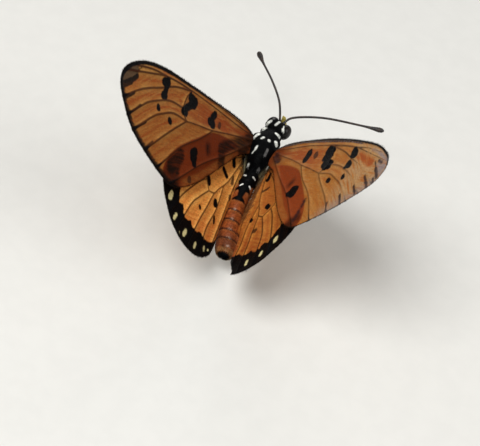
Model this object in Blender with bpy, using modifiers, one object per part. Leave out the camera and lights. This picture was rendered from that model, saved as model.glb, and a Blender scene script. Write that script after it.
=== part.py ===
"""A tawny coster butterfly at life size, a still model that stands with its wings half open.

Sizes are in millimetres. Body measurements are (right, forward, up) from the point midway
between the two forewing hinges, along the animal's own axes. A wing is drawn flat, as
(along, across): along runs from the forewing hinge to its tip, across runs towards the hindwing.
The finished model faces -Y, has its left side towards +X and stands on Z = 0.
"""

import math
from dataclasses import dataclass

import bmesh
import bpy
import numpy as np
from mathutils import Matrix, Vector, geometry

MM = 0.001
MODEL_NAME = "tawny_coster"
LEFT = -1
RIGHT = 1
SIDE_NAMES = {LEFT: "left", RIGHT: "right"}

# Stance
PITCH_DEG = 8.0
HINGE_HEIGHT = 9.0
JOINT_GAP = 0.3

# Wing planes: how far they stand open, how far each is swept back, and the hinge point
WINGS_OPEN_DEG = 65.0
SWEEP_DEG = {LEFT: 28.9, RIGHT: 26.6}
HINGE_RIGHT = (1.93, -0.55, 0.18)
SIGHT_LINE = (0.094, -0.617, 0.781)

# Wing sheets
MEMBRANE = 0.5
VEIN_RIDGE = 0.12
VEIN_HALF_WIDTH = 0.32
OUTLINE_STEP = 1.15
VEIN_STEP = 1.5
FILL_STEP = 2.1
FOREWING_LIFT = 0.47
HINDWING_DROP = 0.57
RIGHT_TIP_REACH = 0.9
RIGHT_TIP_SHIFT = 0.85
HINDWING_TURN_DEG = {LEFT: 0.0, RIGHT: 4.4}
HINDWING_HINGE = (1.7, 3.1)
FOLD_OUT = -0.35
FOLD_ANGLE_DEG = {LEFT: 50.0, RIGHT: 36.0}
FOLD_EASE = 1.0

FOREWING_OUTLINE = (
    (-0.6, 0.3), (0.6, -0.75), (4.3, -1.35), (9.0, -1.8), (14.5, -2.3), (19.6, -2.65),
    (23.6, -2.4), (26.6, -1.45), (28.3, -0.2), (28.65, 1.3), (27.6, 3.5), (25.6, 6.0),
    (22.5, 8.0), (19.1, 9.7), (17.0, 10.4), (14.6, 10.1), (11.0, 8.55), (6.0, 5.4), (2.6, 3.2),
    (0.3, 2.4),
)
HINDWING_OUTLINE = (
    (0.4, 3.3), (2.4, 2.2), (5.4, 1.8), (9.2, 2.1), (12.6, 3.7), (15.9, 5.5), (18.0, 7.3),
    (18.7, 9.2), (18.3, 11.2), (17.4, 12.8), (15.7, 14.8), (13.2, 16.5), (10.7, 17.3),
    (8.6, 17.2), (6.7, 16.1), (5.0, 13.3), (3.6, 10.3), (2.3, 7.4), (1.2, 5.2),
)
FOREWING_VEINS = (
    ((0.2, 0.1), (3.1, -0.2), (9.2, -1.0), (14.9, -1.6), (19.6, -1.75), (22.9, -1.2), (27.4, -0.2)),
    ((0.4, 0.6), (2.1, 0.9), (5.8, 1.4), (9.2, 1.9), (12.4, 2.1), (14.9, 2.3)),
    ((14.9, 2.3), (15.8, 1.2), (15.4, -0.4), (14.4, -1.5)),
    ((14.4, -1.5), (17.7, -1.1), (20.5, -0.2), (24.4, 1.1), (27.3, 2.8)),
    ((15.8, 1.0), (18.8, 0.9), (22.4, 2.0), (24.1, 2.9), (26.2, 4.4)),
    ((14.9, 2.3), (17.7, 2.1), (19.8, 2.7), (21.8, 3.6), (25.0, 5.8)),
    ((14.9, 2.3), (18.0, 4.3), (22.2, 7.2)),
    ((9.1, 1.9), (11.8, 3.6), (15.6, 5.6), (19.6, 8.7)),
    ((1.0, 1.4), (5.6, 4.0), (9.4, 5.7), (12.0, 7.1), (16.4, 9.7)),
)
HINDWING_VEINS = (
    ((2.0, 3.2), (5.5, 3.0), (9.5, 3.4), (13.5, 5.3), (16.3, 7.7), (17.9, 9.9)),
    ((2.0, 3.4), (6.0, 4.7), (9.7, 6.7), (13.6, 8.3), (17.0, 10.9)),
    ((2.1, 4.0), (4.6, 7.0), (6.7, 8.5), (7.6, 9.2), (8.8, 9.2)),
    ((9.7, 6.7), (9.5, 7.9), (8.8, 9.2)),
    ((9.5, 7.9), (11.2, 8.7), (14.4, 11.0), (15.8, 12.4)),
    ((8.8, 9.2), (10.9, 10.5), (12.4, 11.7), (14.4, 14.4)),
    ((7.6, 9.2), (9.1, 11.4), (10.4, 13.2), (12.0, 15.9)),
    ((5.6, 7.8), (6.9, 11.1), (8.7, 13.8), (9.4, 16.2)),
    ((1.9, 4.6), (3.6, 8.0), (5.2, 11.4), (7.2, 15.6)),
)

# Head, turned a little to the right on the neck
HEAD_CENTRE = (0.58, 3.7, -1.33)
HEAD_YAW_DEG = 18.0
EYE_PLACE = (0.96, 0.25, -0.04)
EYE_RADII = (0.8, 1.02, 1.05)

ANTENNA_ROUTES = {
    LEFT: ((0.45, 4.35, -0.75), (-0.5, 7.7, -0.92), (-2.47, 11.2, -1.68), (-4.65, 14.35, -2.49),
           (-5.85, 16.2, -2.91)),
    RIGHT: ((1.05, 4.25, -0.8), (1.99, 5.44, -0.3), (5.47, 7.0, -0.3), (9.81, 8.19, -0.8),
            (13.2, 9.0, -1.27)),
}
ANTENNA_SHAFT = 0.25
ANTENNA_CLUB = 0.38
CLUB_START = 0.83

# Abdomen: a spine that droops and bends a little to the right, in seven rings
SPINE = ((-0.15, -4.7, -1.35), (-0.3, -7.0, -1.8), (-0.38, -10.0, -2.5), (-0.1, -12.8, -3.15),
         (0.62, -15.7, -3.85))
SEGMENTS = 7
SEGMENT_STEP = 0.09


@dataclass
class Leg:
    """A leg by its joints, as (out, back, height) over the floor below the hinges."""

    hip: tuple
    knee: tuple
    ankle: tuple
    toe: tuple


LEGS = {
    "midleg": Leg((0.7, -0.1, 6.1), (4.6, -2.1, 4.6), (6.3, -3.0, 0.55), (8.6, -5.3, 0.2)),
    "hindleg": Leg((0.6, 1.9, 5.9), (2.9, 6.5, 4.5), (3.6, 9.1, 0.55), (3.1, 13.1, 0.2)),
}
FEMUR_RADIUS = 0.34
TIBIA_RADIUS = 0.27
TARSUS_RADIUS = 0.25


def smoothstep(value):
    """Ease from 0 to 1 as value goes from 0 to 1."""
    value = min(max(value, 0.0), 1.0)
    return value * value * (3.0 - 2.0 * value)


def smooth_path(points, step, closed=False):
    """Return points every step millimetres along a smooth curve through the given points."""
    points = [np.array(point, float) for point in points]
    count = len(points)
    spans = count if closed else count - 1
    path = []
    for index in range(spans):
        if closed:
            before, start, end, after = (points[(index + shift) % count] for shift in (-1, 0, 1, 2))
        else:
            start = points[index]
            end = points[index + 1]
            before = points[index - 1] if index > 0 else 2.0 * start - end
            after = points[index + 2] if index + 2 < count else 2.0 * end - start
        pieces = max(1, round(float(np.linalg.norm(end - start)) / step))
        for piece in range(pieces):
            t = piece / pieces
            path.append(0.5 * (2.0 * start + (end - before) * t
                               + (2.0 * before - 5.0 * start + 4.0 * end - after) * t ** 2
                               + (3.0 * start - before - 3.0 * end + after) * t ** 3))
    if not closed:
        path.append(points[-1])
    return np.array(path)


def clear_scene():
    """Remove every object that the scene starts with."""
    for item in list(bpy.data.objects):
        bpy.data.objects.remove(item)


def make_collection(name):
    """Return a new collection linked to the scene."""
    collection = bpy.data.collections.new(name)
    bpy.context.scene.collection.children.link(collection)
    return collection


def make_material(name, colour, roughness):
    """Return a Principled material."""
    material = bpy.data.materials.new(name)
    material.use_nodes = True
    shader = material.node_tree.nodes["Principled BSDF"]
    shader.inputs["Base Color"].default_value = (*colour, 1.0)
    shader.inputs["Roughness"].default_value = roughness
    return material


def local_point(point):
    """Turn a (right, forward, up) body measurement into metres in the stance's own frame."""
    right, forward, up = point
    return Vector((-right, -forward, up)) * MM


def stance_matrix():
    """Return the turn and lift that set the body's axes over the floor."""
    lift = Matrix.Translation((0.0, 0.0, HINGE_HEIGHT * MM))
    return lift @ Matrix.Rotation(math.radians(-PITCH_DEG), 4, "X")


def body_point_over_floor(side, out, back, height):
    """Return the (right, forward, up) measurement of a point given over the floor."""
    world = Vector((-side * out, back, height)) * MM
    local = stance_matrix().inverted() @ world
    return (-local.x / MM, -local.y / MM, local.z / MM)


class Model:
    """The collections, the stance and the materials that every part is made with."""

    def __init__(self):
        self.nodes = make_collection(MODEL_NAME)
        self.cutters = make_collection("cutters")
        self.stance = bpy.data.objects.new("stance", None)
        self.stance.matrix_world = stance_matrix()
        self.nodes.objects.link(self.stance)

    def add(self, name, mesh, material):
        """Add one named part, carried by the stance."""
        part = bpy.data.objects.new(name, mesh)
        part.data.materials.append(material)
        part.parent = self.stance
        self.nodes.objects.link(part)
        return part

    def add_cutter(self, name, mesh):
        """Add a solid that only trims others."""
        cutter = bpy.data.objects.new(name, mesh)
        cutter.parent = self.stance
        cutter.hide_render = True
        cutter.display_type = "WIRE"
        self.cutters.objects.link(cutter)
        return cutter


def trim(part, cutter):
    """Cut a part clear of a cutter."""
    cut = part.modifiers.new("clear_of_" + cutter.name, "BOOLEAN")
    cut.operation = "DIFFERENCE"
    cut.solver = "EXACT"
    cut.object = cutter


def loft_mesh(name, rings):
    """Skin a list of rings of points, with a flat cap at both ends."""
    shape = bmesh.new()
    sides = len(rings[0])
    loops = [[shape.verts.new(local_point(point)) for point in ring] for ring in rings]
    for first, second in zip(loops, loops[1:]):
        for index in range(sides):
            following = (index + 1) % sides
            shape.faces.new((first[index], first[following], second[following], second[index]))
    shape.faces.new(list(reversed(loops[0])))
    shape.faces.new(loops[-1])
    bmesh.ops.recalc_face_normals(shape, faces=shape.faces)
    mesh = bpy.data.meshes.new(name)
    shape.to_mesh(mesh)
    shape.free()
    return mesh


@dataclass
class Station:
    """One cross-section of the body: its centre, half sizes, and the way its plane faces."""

    centre: tuple
    half_width: float
    half_height: float
    yaw_deg: float = 0.0
    slope_deg: float = 0.0

    def ring(self, sides, grow):
        """Return the section's points, grown outwards by grow."""
        yaw = math.radians(self.yaw_deg)
        slope = math.radians(self.slope_deg)
        side_way = np.array((math.cos(yaw), -math.sin(yaw), 0.0))
        level = np.array((math.sin(yaw), math.cos(yaw), 0.0))
        ahead = level * math.cos(slope) - np.array((0.0, 0.0, math.sin(slope)))
        up_way = np.cross(side_way, ahead)
        points = []
        for index in range(sides):
            turn = 2.0 * math.pi * index / sides
            points.append(np.array(self.centre)
                          + side_way * math.cos(turn) * (self.half_width + grow)
                          + up_way * math.sin(turn) * (self.half_height + grow))
        return points


def body_mesh(name, stations, sides=24, grow=0.0):
    """Loft the stations. A grown copy also reaches further at both ends."""
    rings = [station.ring(sides, grow) for station in stations]
    if grow:
        for end, inner in ((0, 1), (-1, -2)):
            outwards = np.array(stations[end].centre) - np.array(stations[inner].centre)
            outwards = outwards / np.linalg.norm(outwards) * grow
            rings[end] = [point + outwards for point in rings[end]]
    return loft_mesh(name, rings)


def on_head(side, ahead, up):
    """Return the body measurement of a point given from the head's centre."""
    yaw = math.radians(HEAD_YAW_DEG)
    right, forward, height = HEAD_CENTRE
    return (right + side * math.cos(yaw) + ahead * math.sin(yaw),
            forward - side * math.sin(yaw) + ahead * math.cos(yaw),
            height + up)


def head_stations():
    """Return the head's sections, from the neck to the face."""
    sizes = ((-1.15, 0.66, 0.7), (-0.85, 0.86, 0.94), (-0.3, 0.92, 1.14), (0.25, 0.92, 1.15),
             (0.7, 0.8, 0.98), (1.02, 0.56, 0.7), (1.16, 0.3, 0.4))
    return [Station(on_head(0.0, ahead, 0.0), width, height, yaw_deg=HEAD_YAW_DEG)
            for ahead, width, height in sizes]


def thorax_stations():
    """Return the thorax's sections, from the collar behind the head to the waist."""
    collar = Station(on_head(0.0, -1.15 - JOINT_GAP, 0.03), 1.0, 0.92, yaw_deg=HEAD_YAW_DEG)
    return [
        collar,
        Station((0.22, 1.95, -1.24), 1.34, 1.26, yaw_deg=12.0),
        Station((0.2, 1.45, -1.2), 1.58, 1.54, yaw_deg=5.0),
        Station((0.1, 0.8, -1.25), 1.74, 1.8),
        Station((0.0, 0.0, -1.38), 1.92, 2.0),
        Station((0.0, -1.0, -1.48), 1.95, 2.1),
        Station((0.0, -2.0, -1.5), 1.85, 2.1),
        Station((-0.04, -3.0, -1.46), 1.6, 1.9),
        Station((-0.1, -3.8, -1.38), 1.3, 1.55, slope_deg=-4.0),
        Station((-0.14, -4.4, -1.32), 0.95, 1.1, slope_deg=-9.0),
    ]


def abdomen_stations():
    """Return the abdomen's sections: each ring swells behind its front edge, up to a blunt tip."""
    spine = smooth_path(SPINE, 0.25)
    stretch = np.concatenate(([0.0], np.cumsum(np.linalg.norm(np.diff(spine, axis=0), axis=1))))
    length = stretch[-1]
    marks = (0.0, 0.12, 0.3, 0.62, 0.85, 1.0)

    def station(distance, swell, tip=1.0):
        centre = np.array([np.interp(distance, stretch, spine[:, axis]) for axis in range(3)])
        share = distance / length
        half_width = float(np.interp(share, marks, (0.95, 1.12, 1.08, 1.24, 1.3, 1.2)))
        half_height = float(np.interp(share, marks, (1.05, 1.2, 1.2, 1.3, 1.28, 1.15)))
        bend = 9.0 if share > 0.6 else 0.0
        return Station(tuple(centre), (half_width + swell) * tip, (half_height + swell) * tip,
                       yaw_deg=-bend, slope_deg=-11.0)

    rings = []
    body = length * 0.88
    for segment in range(SEGMENTS):
        start = body * segment / SEGMENTS
        span = body / SEGMENTS
        rings.append(station(start, -SEGMENT_STEP if segment else 0.0))
        rings.append(station(start + 0.3 * span, 0.0))
        rings.append(station(start + 0.92 * span, SEGMENT_STEP * 0.4))
    for share, tip in ((0.9, 0.92), (0.95, 0.78), (0.985, 0.5), (1.0, 0.24)):
        rings.append(station(length * share, 0.0, tip))
    return rings


def tube_mesh(model, name, points, radii, step=0.5):
    """Return a closed tube through the points, whose radius follows radii."""
    path = smooth_path(points, step)
    reach = np.concatenate(([0.0], np.cumsum(np.linalg.norm(np.diff(path, axis=0), axis=1))))
    reach = reach / reach[-1]
    marks = [mark for mark, radius in radii]
    sizes = [radius for mark, radius in radii]
    curve = bpy.data.curves.new(name, "CURVE")
    curve.dimensions = "3D"
    curve.bevel_depth = MM
    curve.bevel_resolution = 2
    curve.use_fill_caps = True
    spline = curve.splines.new("POLY")
    spline.points.add(len(path) - 1)
    for index, point in enumerate(path):
        spline.points[index].co = (*local_point(point), 1.0)
        spline.points[index].radius = float(np.interp(reach[index], marks, sizes))
    holder = bpy.data.objects.new(name + "_route", curve)
    model.cutters.objects.link(holder)
    bpy.context.view_layer.update()
    evaluated = holder.evaluated_get(bpy.context.evaluated_depsgraph_get())
    mesh = bpy.data.meshes.new_from_object(evaluated)
    bpy.data.objects.remove(holder)
    shape = bmesh.new()
    shape.from_mesh(mesh)
    bmesh.ops.remove_doubles(shape, verts=shape.verts, dist=0.00001)
    bmesh.ops.recalc_face_normals(shape, faces=shape.faces)
    shape.to_mesh(mesh)
    shape.free()
    return mesh


def distance_to_paths(point, paths):
    """Return the distance from a flat point to the nearest of several paths."""
    nearest = 1000.0
    for path in paths:
        start = path[:-1]
        run = path[1:] - start
        share = ((point - start) * run).sum(axis=1) / np.maximum((run ** 2).sum(axis=1), 1e-9)
        closest = start + run * np.clip(share, 0.0, 1.0)[:, None]
        nearest = min(nearest, float(np.sqrt(((point - closest) ** 2).sum(axis=1)).min()))
    return nearest


def inside(point, outline):
    """Say whether a flat point lies inside a closed outline."""
    found = False
    count = len(outline)
    for index in range(count):
        a = outline[index]
        b = outline[(index + 1) % count]
        if (a[1] > point[1]) != (b[1] > point[1]):
            if point[0] < a[0] + (b[0] - a[0]) * (point[1] - a[1]) / (b[1] - a[1]):
                found = not found
    return found


class Wing:
    """One wing: a flat drawing of outline and veins, set in its plane and given thickness."""

    outline = ()
    veins = ()

    def __init__(self, side):
        self.side = side
        sweep = math.radians(SWEEP_DEG[side])
        half = math.radians(WINGS_OPEN_DEG / 2.0)
        self.outwards = np.array((side * math.sin(half), 0.0, math.cos(half)))
        self.inner_normal = np.array((-side * math.cos(half), 0.0, math.sin(half)))
        back = np.array((0.0, -1.0, 0.0))
        self.along_way = self.outwards * math.cos(sweep) + back * math.sin(sweep)
        self.across_way = back * math.cos(sweep) - self.outwards * math.sin(sweep)
        self.hinge = np.array(HINGE_RIGHT) * side
        sight = np.array(SIGHT_LINE)
        self.rise = sight / float(sight @ self.inner_normal)

    def drawn(self, point):
        """Return a flat point as this side's own wing has it."""
        return np.array(point, float)

    def lift(self, along, across):
        """Return how far the sheet stands off the wing plane, towards the back of the body."""
        return 0.0

    def place(self, point):
        """Return the body measurement of a point of the flat drawing."""
        along, across = self.drawn(point)
        flat = self.hinge + self.along_way * along + self.across_way * across
        return flat + self.rise * self.lift(point[0], point[1])

    def ridge(self, point, paths):
        """Return the sheet's thickness at a flat point, as a share of the thickest."""
        away = distance_to_paths(np.array(point), paths)
        rise = 2.0 * VEIN_RIDGE * max(0.0, 1.0 - away / VEIN_HALF_WIDTH)
        return (MEMBRANE + rise) / (MEMBRANE + 2.0 * VEIN_RIDGE)

    def flat_sheet(self):
        """Split the drawing into triangles that follow its outline and its veins."""
        outline = smooth_path(self.outline, OUTLINE_STEP, closed=True)
        paths = [smooth_path(vein, VEIN_STEP) for vein in self.veins]
        points = [np.array(point) for point in outline]
        edges = []
        margin = [np.vstack((outline, outline[:1]))]
        for path in paths:
            first = len(points)
            points.extend(path)
            edges.extend((first + index, first + index + 1) for index in range(len(path) - 1))
        for path in paths:
            self.add_vein_sides(points, path, paths, outline, margin)
        self.add_fill(points, paths, outline, margin)
        vertices = [Vector((float(point[0]), float(point[1]))) for point in points]
        face = list(range(len(outline)))
        result = geometry.delaunay_2d_cdt(vertices, edges, [face], 1, 0.0001)
        return result[0], result[2], paths

    def add_vein_sides(self, points, path, paths, outline, margin):
        """Add the feet of a vein's ridge, where they keep clear of other points."""
        for index in range(len(path) - 1):
            run = path[index + 1] - path[index]
            run = run / np.linalg.norm(run)
            middle = (path[index] + path[index + 1]) / 2.0
            for turn in (-1.0, 1.0):
                foot = middle + np.array((-run[1], run[0])) * turn * VEIN_HALF_WIDTH
                if distance_to_paths(foot, paths) < VEIN_HALF_WIDTH * 0.9:
                    continue
                if distance_to_paths(foot, margin) < 0.3 or not inside(foot, outline):
                    continue
                if min(float(np.linalg.norm(foot - other)) for other in points) > 0.3:
                    points.append(foot)

    def add_fill(self, points, paths, outline, margin):
        """Add evenly spaced points on the open membrane, so that it can curve."""
        low = outline.min(axis=0)
        high = outline.max(axis=0)
        rows = int((high[1] - low[1]) / (FILL_STEP * 0.87)) + 1
        columns = int((high[0] - low[0]) / FILL_STEP) + 1
        for row in range(rows):
            for column in range(columns):
                shift = 0.5 * (row % 2)
                point = low + np.array(((column + shift) * FILL_STEP, row * FILL_STEP * 0.87))
                if not inside(point, outline) or distance_to_paths(point, margin) < 0.8:
                    continue
                if distance_to_paths(point, paths) > 0.9:
                    points.append(point)

    def mesh(self, name):
        """Return the sheet as an open surface in the body's frame, and its thickness shares."""
        flat, faces, paths = self.flat_sheet()
        shape = bmesh.new()
        corners = [shape.verts.new(local_point(self.place(point))) for point in flat]
        for face in faces:
            shape.faces.new([corners[index] for index in face])
        bmesh.ops.recalc_face_normals(shape, faces=shape.faces)
        mesh = bpy.data.meshes.new(name)
        shape.to_mesh(mesh)
        shape.free()
        return mesh, [self.ridge(point, paths) for point in flat]

    def build(self, model, name, material, cutters):
        """Make the wing's solid: the sheet thickened on both faces, its root cut to the body."""
        mesh, shares = self.mesh(name)
        wing = model.add(name, mesh, material)
        group = wing.vertex_groups.new(name="thickness")
        for index, share in enumerate(shares):
            group.add([index], share, "REPLACE")
        solid = wing.modifiers.new("membrane", "SOLIDIFY")
        solid.thickness = (MEMBRANE + 2.0 * VEIN_RIDGE) * MM
        solid.offset = 0.0
        solid.vertex_group = "thickness"
        for cutter in cutters:
            trim(wing, cutter)
        return wing


class Forewing(Wing):
    """The front wing. Its rear half lies over the hindwing."""

    outline = FOREWING_OUTLINE
    veins = FOREWING_VEINS

    def drawn(self, point):
        along, across = point
        if self.side == LEFT:
            return np.array((along, across))
        front = 1.0 - smoothstep((across - 2.0) / 5.0)
        start = 6.0 + 4.0 * smoothstep((-1.2 - across) / 1.2)
        reach = RIGHT_TIP_REACH * front * smoothstep((along - 17.0) / 12.0)
        shift = RIGHT_TIP_SHIFT * front * smoothstep((along - start) / 13.0)
        return np.array((along + reach, across + shift))

    def lift(self, along, across):
        return FOREWING_LIFT * smoothstep((across + 0.5) / 3.0)


class Hindwing(Wing):
    """The rear wing. Its front lies under the forewing and its inner edge hangs by the abdomen."""

    outline = HINDWING_OUTLINE
    veins = HINDWING_VEINS

    def drawn(self, point):
        turn = math.radians(HINDWING_TURN_DEG[self.side])
        hinge = np.array(HINDWING_HINGE)
        along, across = np.array(point, float) - hinge
        return hinge + np.array((along * math.cos(turn) - across * math.sin(turn),
                                 along * math.sin(turn) + across * math.cos(turn)))

    def lift(self, along, across):
        past_forewing = (across - (1.28 + 0.533 * along)) * 0.882
        return -HINDWING_DROP + (HINDWING_DROP - 0.05) * smoothstep((past_forewing - 0.8) / 3.2)

    def place(self, point):
        sweep = math.radians(SWEEP_DEG[LEFT])
        out = point[0] * math.cos(sweep) - point[1] * math.sin(sweep)
        back = point[0] * math.sin(sweep) + point[1] * math.cos(sweep)
        beyond = FOLD_OUT - out
        if beyond <= 0.0:
            return super().place(point)
        fold = (point[0] + beyond * math.cos(sweep), point[1] - beyond * math.sin(sweep))
        full_turn = math.radians(FOLD_ANGLE_DEG[self.side]) * (1.0 - 0.6 * smoothstep((back - 13.0) / 4.0))
        place = super().place(fold)
        steps = 8
        for step in range(steps):
            reach = beyond * (step + 0.5) / steps
            turn = full_turn * smoothstep(reach / FOLD_EASE)
            inwards = -self.outwards * math.cos(turn) - self.inner_normal * math.sin(turn)
            place = place + inwards * beyond / steps
        return place


def build_body(model, materials):
    """Make the head, thorax and abdomen, and the grown copies that trim what meets them."""
    model.add("head", body_mesh("head", head_stations(), sides=20), materials["cuticle"])
    model.add("thorax", body_mesh("thorax", thorax_stations()), materials["cuticle"])
    model.add("abdomen", body_mesh("abdomen", abdomen_stations()), materials["abdomen"])
    around_head = body_mesh("head_clearance", head_stations(), 20, JOINT_GAP)
    around_thorax = body_mesh("thorax_clearance", thorax_stations(), 24, JOINT_GAP)
    return {
        "head": model.add_cutter("head_clearance", around_head),
        "thorax": model.add_cutter("thorax_clearance", around_thorax),
    }


def build_eyes(model, materials, clearances):
    """Make the two compound eyes as domes on the sides of the head."""
    for side in (LEFT, RIGHT):
        shape = bmesh.new()
        bmesh.ops.create_uvsphere(shape, u_segments=18, v_segments=12, radius=MM)
        yaw = Matrix.Rotation(math.radians(-HEAD_YAW_DEG), 4, "Z")
        size = Matrix.Diagonal((*EYE_RADII, 1.0))
        place = Matrix.Translation(local_point(on_head(side * EYE_PLACE[0], *EYE_PLACE[1:])))
        bmesh.ops.transform(shape, matrix=place @ yaw @ size, verts=shape.verts)
        name = "eye_" + SIDE_NAMES[side]
        mesh = bpy.data.meshes.new(name)
        shape.to_mesh(mesh)
        shape.free()
        trim(model.add(name, mesh, materials["eye"]), clearances["head"])


def build_mouth(model, materials, clearances):
    """Make the two palps and the coiled tongue below the face."""
    for side in (LEFT, RIGHT):
        route = [on_head(side * out, ahead, up) for out, ahead, up in
                 ((0.4, 0.7, -0.5), (0.55, 1.75, -0.65), (0.5, 2.2, 0.1), (0.42, 2.25, 0.75))]
        name = "palp_" + SIDE_NAMES[side]
        mesh = tube_mesh(model, name, route, ((0.0, 0.26), (0.5, 0.33), (0.85, 0.25), (1.0, 0.12)), 0.4)
        trim(model.add(name, mesh, materials["palp"]), clearances["head"])
    coil = [on_head(0.0, 0.75, -0.7), on_head(0.0, 0.78, -1.3)]
    turns = 1.35
    steps = 16
    for step in range(steps + 1):
        share = step / steps
        angle = math.radians(160.0) - share * turns * 2.0 * math.pi
        radius = 0.95 - 0.62 * share
        coil.append(on_head(0.0, 1.62 + radius * math.cos(angle), -2.1 + radius * math.sin(angle)))
    mesh = tube_mesh(model, "proboscis", coil, ((0.0, 0.2), (0.6, 0.18), (1.0, 0.12)), 0.35)
    trim(model.add("proboscis", mesh, materials["horn"]), clearances["head"])


def build_antennae(model, materials, clearances):
    """Make the two clubbed antennae."""
    for side, route in ANTENNA_ROUTES.items():
        name = "antenna_" + SIDE_NAMES[side]
        sizes = ((0.0, ANTENNA_SHAFT), (CLUB_START, ANTENNA_SHAFT), (0.91, ANTENNA_CLUB * 0.92),
                 (0.96, ANTENNA_CLUB), (0.99, ANTENNA_CLUB * 0.8), (1.0, 0.15))
        mesh = tube_mesh(model, name, route, sizes, 0.55)
        trim(model.add(name, mesh, materials["horn"]), clearances["head"])


def build_legs(model, materials, clearances):
    """Make four walking legs with their feet flat on the floor, and the two short forelegs."""
    bpy.ops.mesh.primitive_cube_add(size=1.0)
    floor = bpy.context.object
    floor.name = "floor_block"
    floor.scale = (0.1, 0.1, 0.01)
    floor.location = (0.0, 0.0, -0.005)
    floor.hide_render = True
    floor.display_type = "WIRE"
    for collection in list(floor.users_collection):
        collection.objects.unlink(floor)
    model.cutters.objects.link(floor)
    for kind, leg in LEGS.items():
        for side in (LEFT, RIGHT):
            hip, knee, ankle, toe = (np.array(body_point_over_floor(side, *joint))
                                     for joint in (leg.hip, leg.knee, leg.ankle, leg.toe))
            heel_out = leg.ankle[0] * 0.88 + leg.toe[0] * 0.12
            heel_back = leg.ankle[1] * 0.88 + leg.toe[1] * 0.12
            heel_height = TARSUS_RADIUS * 0.8
            heel = np.array(body_point_over_floor(side, heel_out, heel_back, heel_height))
            route = (hip, hip * 0.55 + knee * 0.45, hip * 0.08 + knee * 0.92, knee * 0.85 + ankle * 0.15,
                     knee * 0.4 + ankle * 0.6, ankle, heel, heel * 0.5 + toe * 0.5, toe)
            sizes = ((0.0, 0.46), (0.1, 0.42), (0.2, FEMUR_RADIUS), (0.33, 0.27), (0.4, TIBIA_RADIUS),
                     (0.66, TARSUS_RADIUS), (0.97, TARSUS_RADIUS), (1.0, 0.16))
            name = kind + "_" + SIDE_NAMES[side]
            limb = model.add(name, tube_mesh(model, name, route, sizes, 0.6), materials["leg"])
            trim(limb, clearances["thorax"])
            trim(limb, floor)
    for side in (LEFT, RIGHT):
        route = ((side * 0.6 + 0.1, 0.9, -2.2), (side * 0.85 + 0.15, 1.5, -3.2),
                 (side * 1.0 + 0.15, 2.1, -4.0), (side * 0.9 + 0.12, 1.7, -4.5),
                 (side * 0.75 + 0.1, 0.7, -4.6))
        name = "foreleg_" + SIDE_NAMES[side]
        mesh = tube_mesh(model, name, route, ((0.0, 0.36), (0.5, 0.27), (1.0, 0.2)), 0.45)
        trim(model.add(name, mesh, materials["leg"]), clearances["thorax"])


def build_wings(model, materials, clearances):
    """Make the four wings."""
    for side in (LEFT, RIGHT):
        name = SIDE_NAMES[side]
        cutters = [clearances["thorax"]]
        Forewing(side).build(model, "forewing_" + name, materials["forewing"], cutters)
        Hindwing(side).build(model, "hindwing_" + name, materials["hindwing"], cutters)


def centre_on_origin(model):
    """Move the stance so that the middle of the model's box stands over the origin."""
    bpy.context.view_layer.update()
    depsgraph = bpy.context.evaluated_depsgraph_get()
    corners = []
    for part in model.nodes.objects:
        if part.type == "MESH":
            evaluated = part.evaluated_get(depsgraph)
            corners.extend(part.matrix_world @ vertex.co for vertex in evaluated.data.vertices)
    for axis in (0, 1):
        low = min(corner[axis] for corner in corners)
        high = max(corner[axis] for corner in corners)
        model.stance.location[axis] -= (low + high) / 2.0


def main():
    """Build the whole model."""
    clear_scene()
    model = Model()
    materials = {
        "cuticle": make_material("black_body", (0.012, 0.012, 0.014), 0.55),
        "abdomen": make_material("russet_abdomen", (0.2, 0.065, 0.03), 0.6),
        "eye": make_material("dark_eye", (0.02, 0.015, 0.012), 0.25),
        "palp": make_material("ochre_palp", (0.42, 0.24, 0.05), 0.6),
        "horn": make_material("black_antenna", (0.01, 0.01, 0.01), 0.4),
        "leg": make_material("dark_leg", (0.03, 0.022, 0.015), 0.5),
        "forewing": make_material("tawny_forewing", (0.42, 0.17, 0.05), 0.6),
        "hindwing": make_material("orange_hindwing", (0.5, 0.2, 0.05), 0.6),
    }
    clearances = build_body(model, materials)
    build_eyes(model, materials, clearances)
    build_mouth(model, materials, clearances)
    build_antennae(model, materials, clearances)
    build_legs(model, materials, clearances)
    build_wings(model, materials, clearances)
    centre_on_origin(model)


main()
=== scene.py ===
"""Dress a life-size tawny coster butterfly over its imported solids.

Body measurements are in millimetres, as (right, forward, up) from the point midway between the
two forewing hinges, along the animal's own axes. A wing is drawn flat, as (along, across): along
runs from the forewing hinge towards the tip, across runs back towards the hindwing.
"""

import itertools
import logging
import math
from dataclasses import dataclass, field
from enum import Enum

import bpy
import numpy as np
from mathutils import Matrix, Vector, geometry

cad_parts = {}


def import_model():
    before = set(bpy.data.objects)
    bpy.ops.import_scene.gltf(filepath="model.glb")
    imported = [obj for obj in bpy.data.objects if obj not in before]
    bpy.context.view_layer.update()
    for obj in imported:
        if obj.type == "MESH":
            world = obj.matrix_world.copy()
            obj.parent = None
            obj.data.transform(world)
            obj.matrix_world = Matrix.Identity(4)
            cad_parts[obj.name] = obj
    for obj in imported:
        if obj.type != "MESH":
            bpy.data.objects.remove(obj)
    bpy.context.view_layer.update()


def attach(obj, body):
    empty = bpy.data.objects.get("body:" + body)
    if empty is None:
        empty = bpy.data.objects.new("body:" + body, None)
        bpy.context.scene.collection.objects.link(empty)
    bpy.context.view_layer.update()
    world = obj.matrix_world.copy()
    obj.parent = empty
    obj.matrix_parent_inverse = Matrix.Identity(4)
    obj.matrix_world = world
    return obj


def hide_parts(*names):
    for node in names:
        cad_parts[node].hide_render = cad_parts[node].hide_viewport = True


LOG = logging.getLogger("butterfly")
MM = 0.001
ROOT_BODY = "root"
DRAWN_SWEEP = math.radians(28.9)
OUTSIDE = -9.0
UNMARKED = -2.0
Array = np.ndarray
Material = bpy.types.Material
Mesh = bpy.types.Mesh
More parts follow.
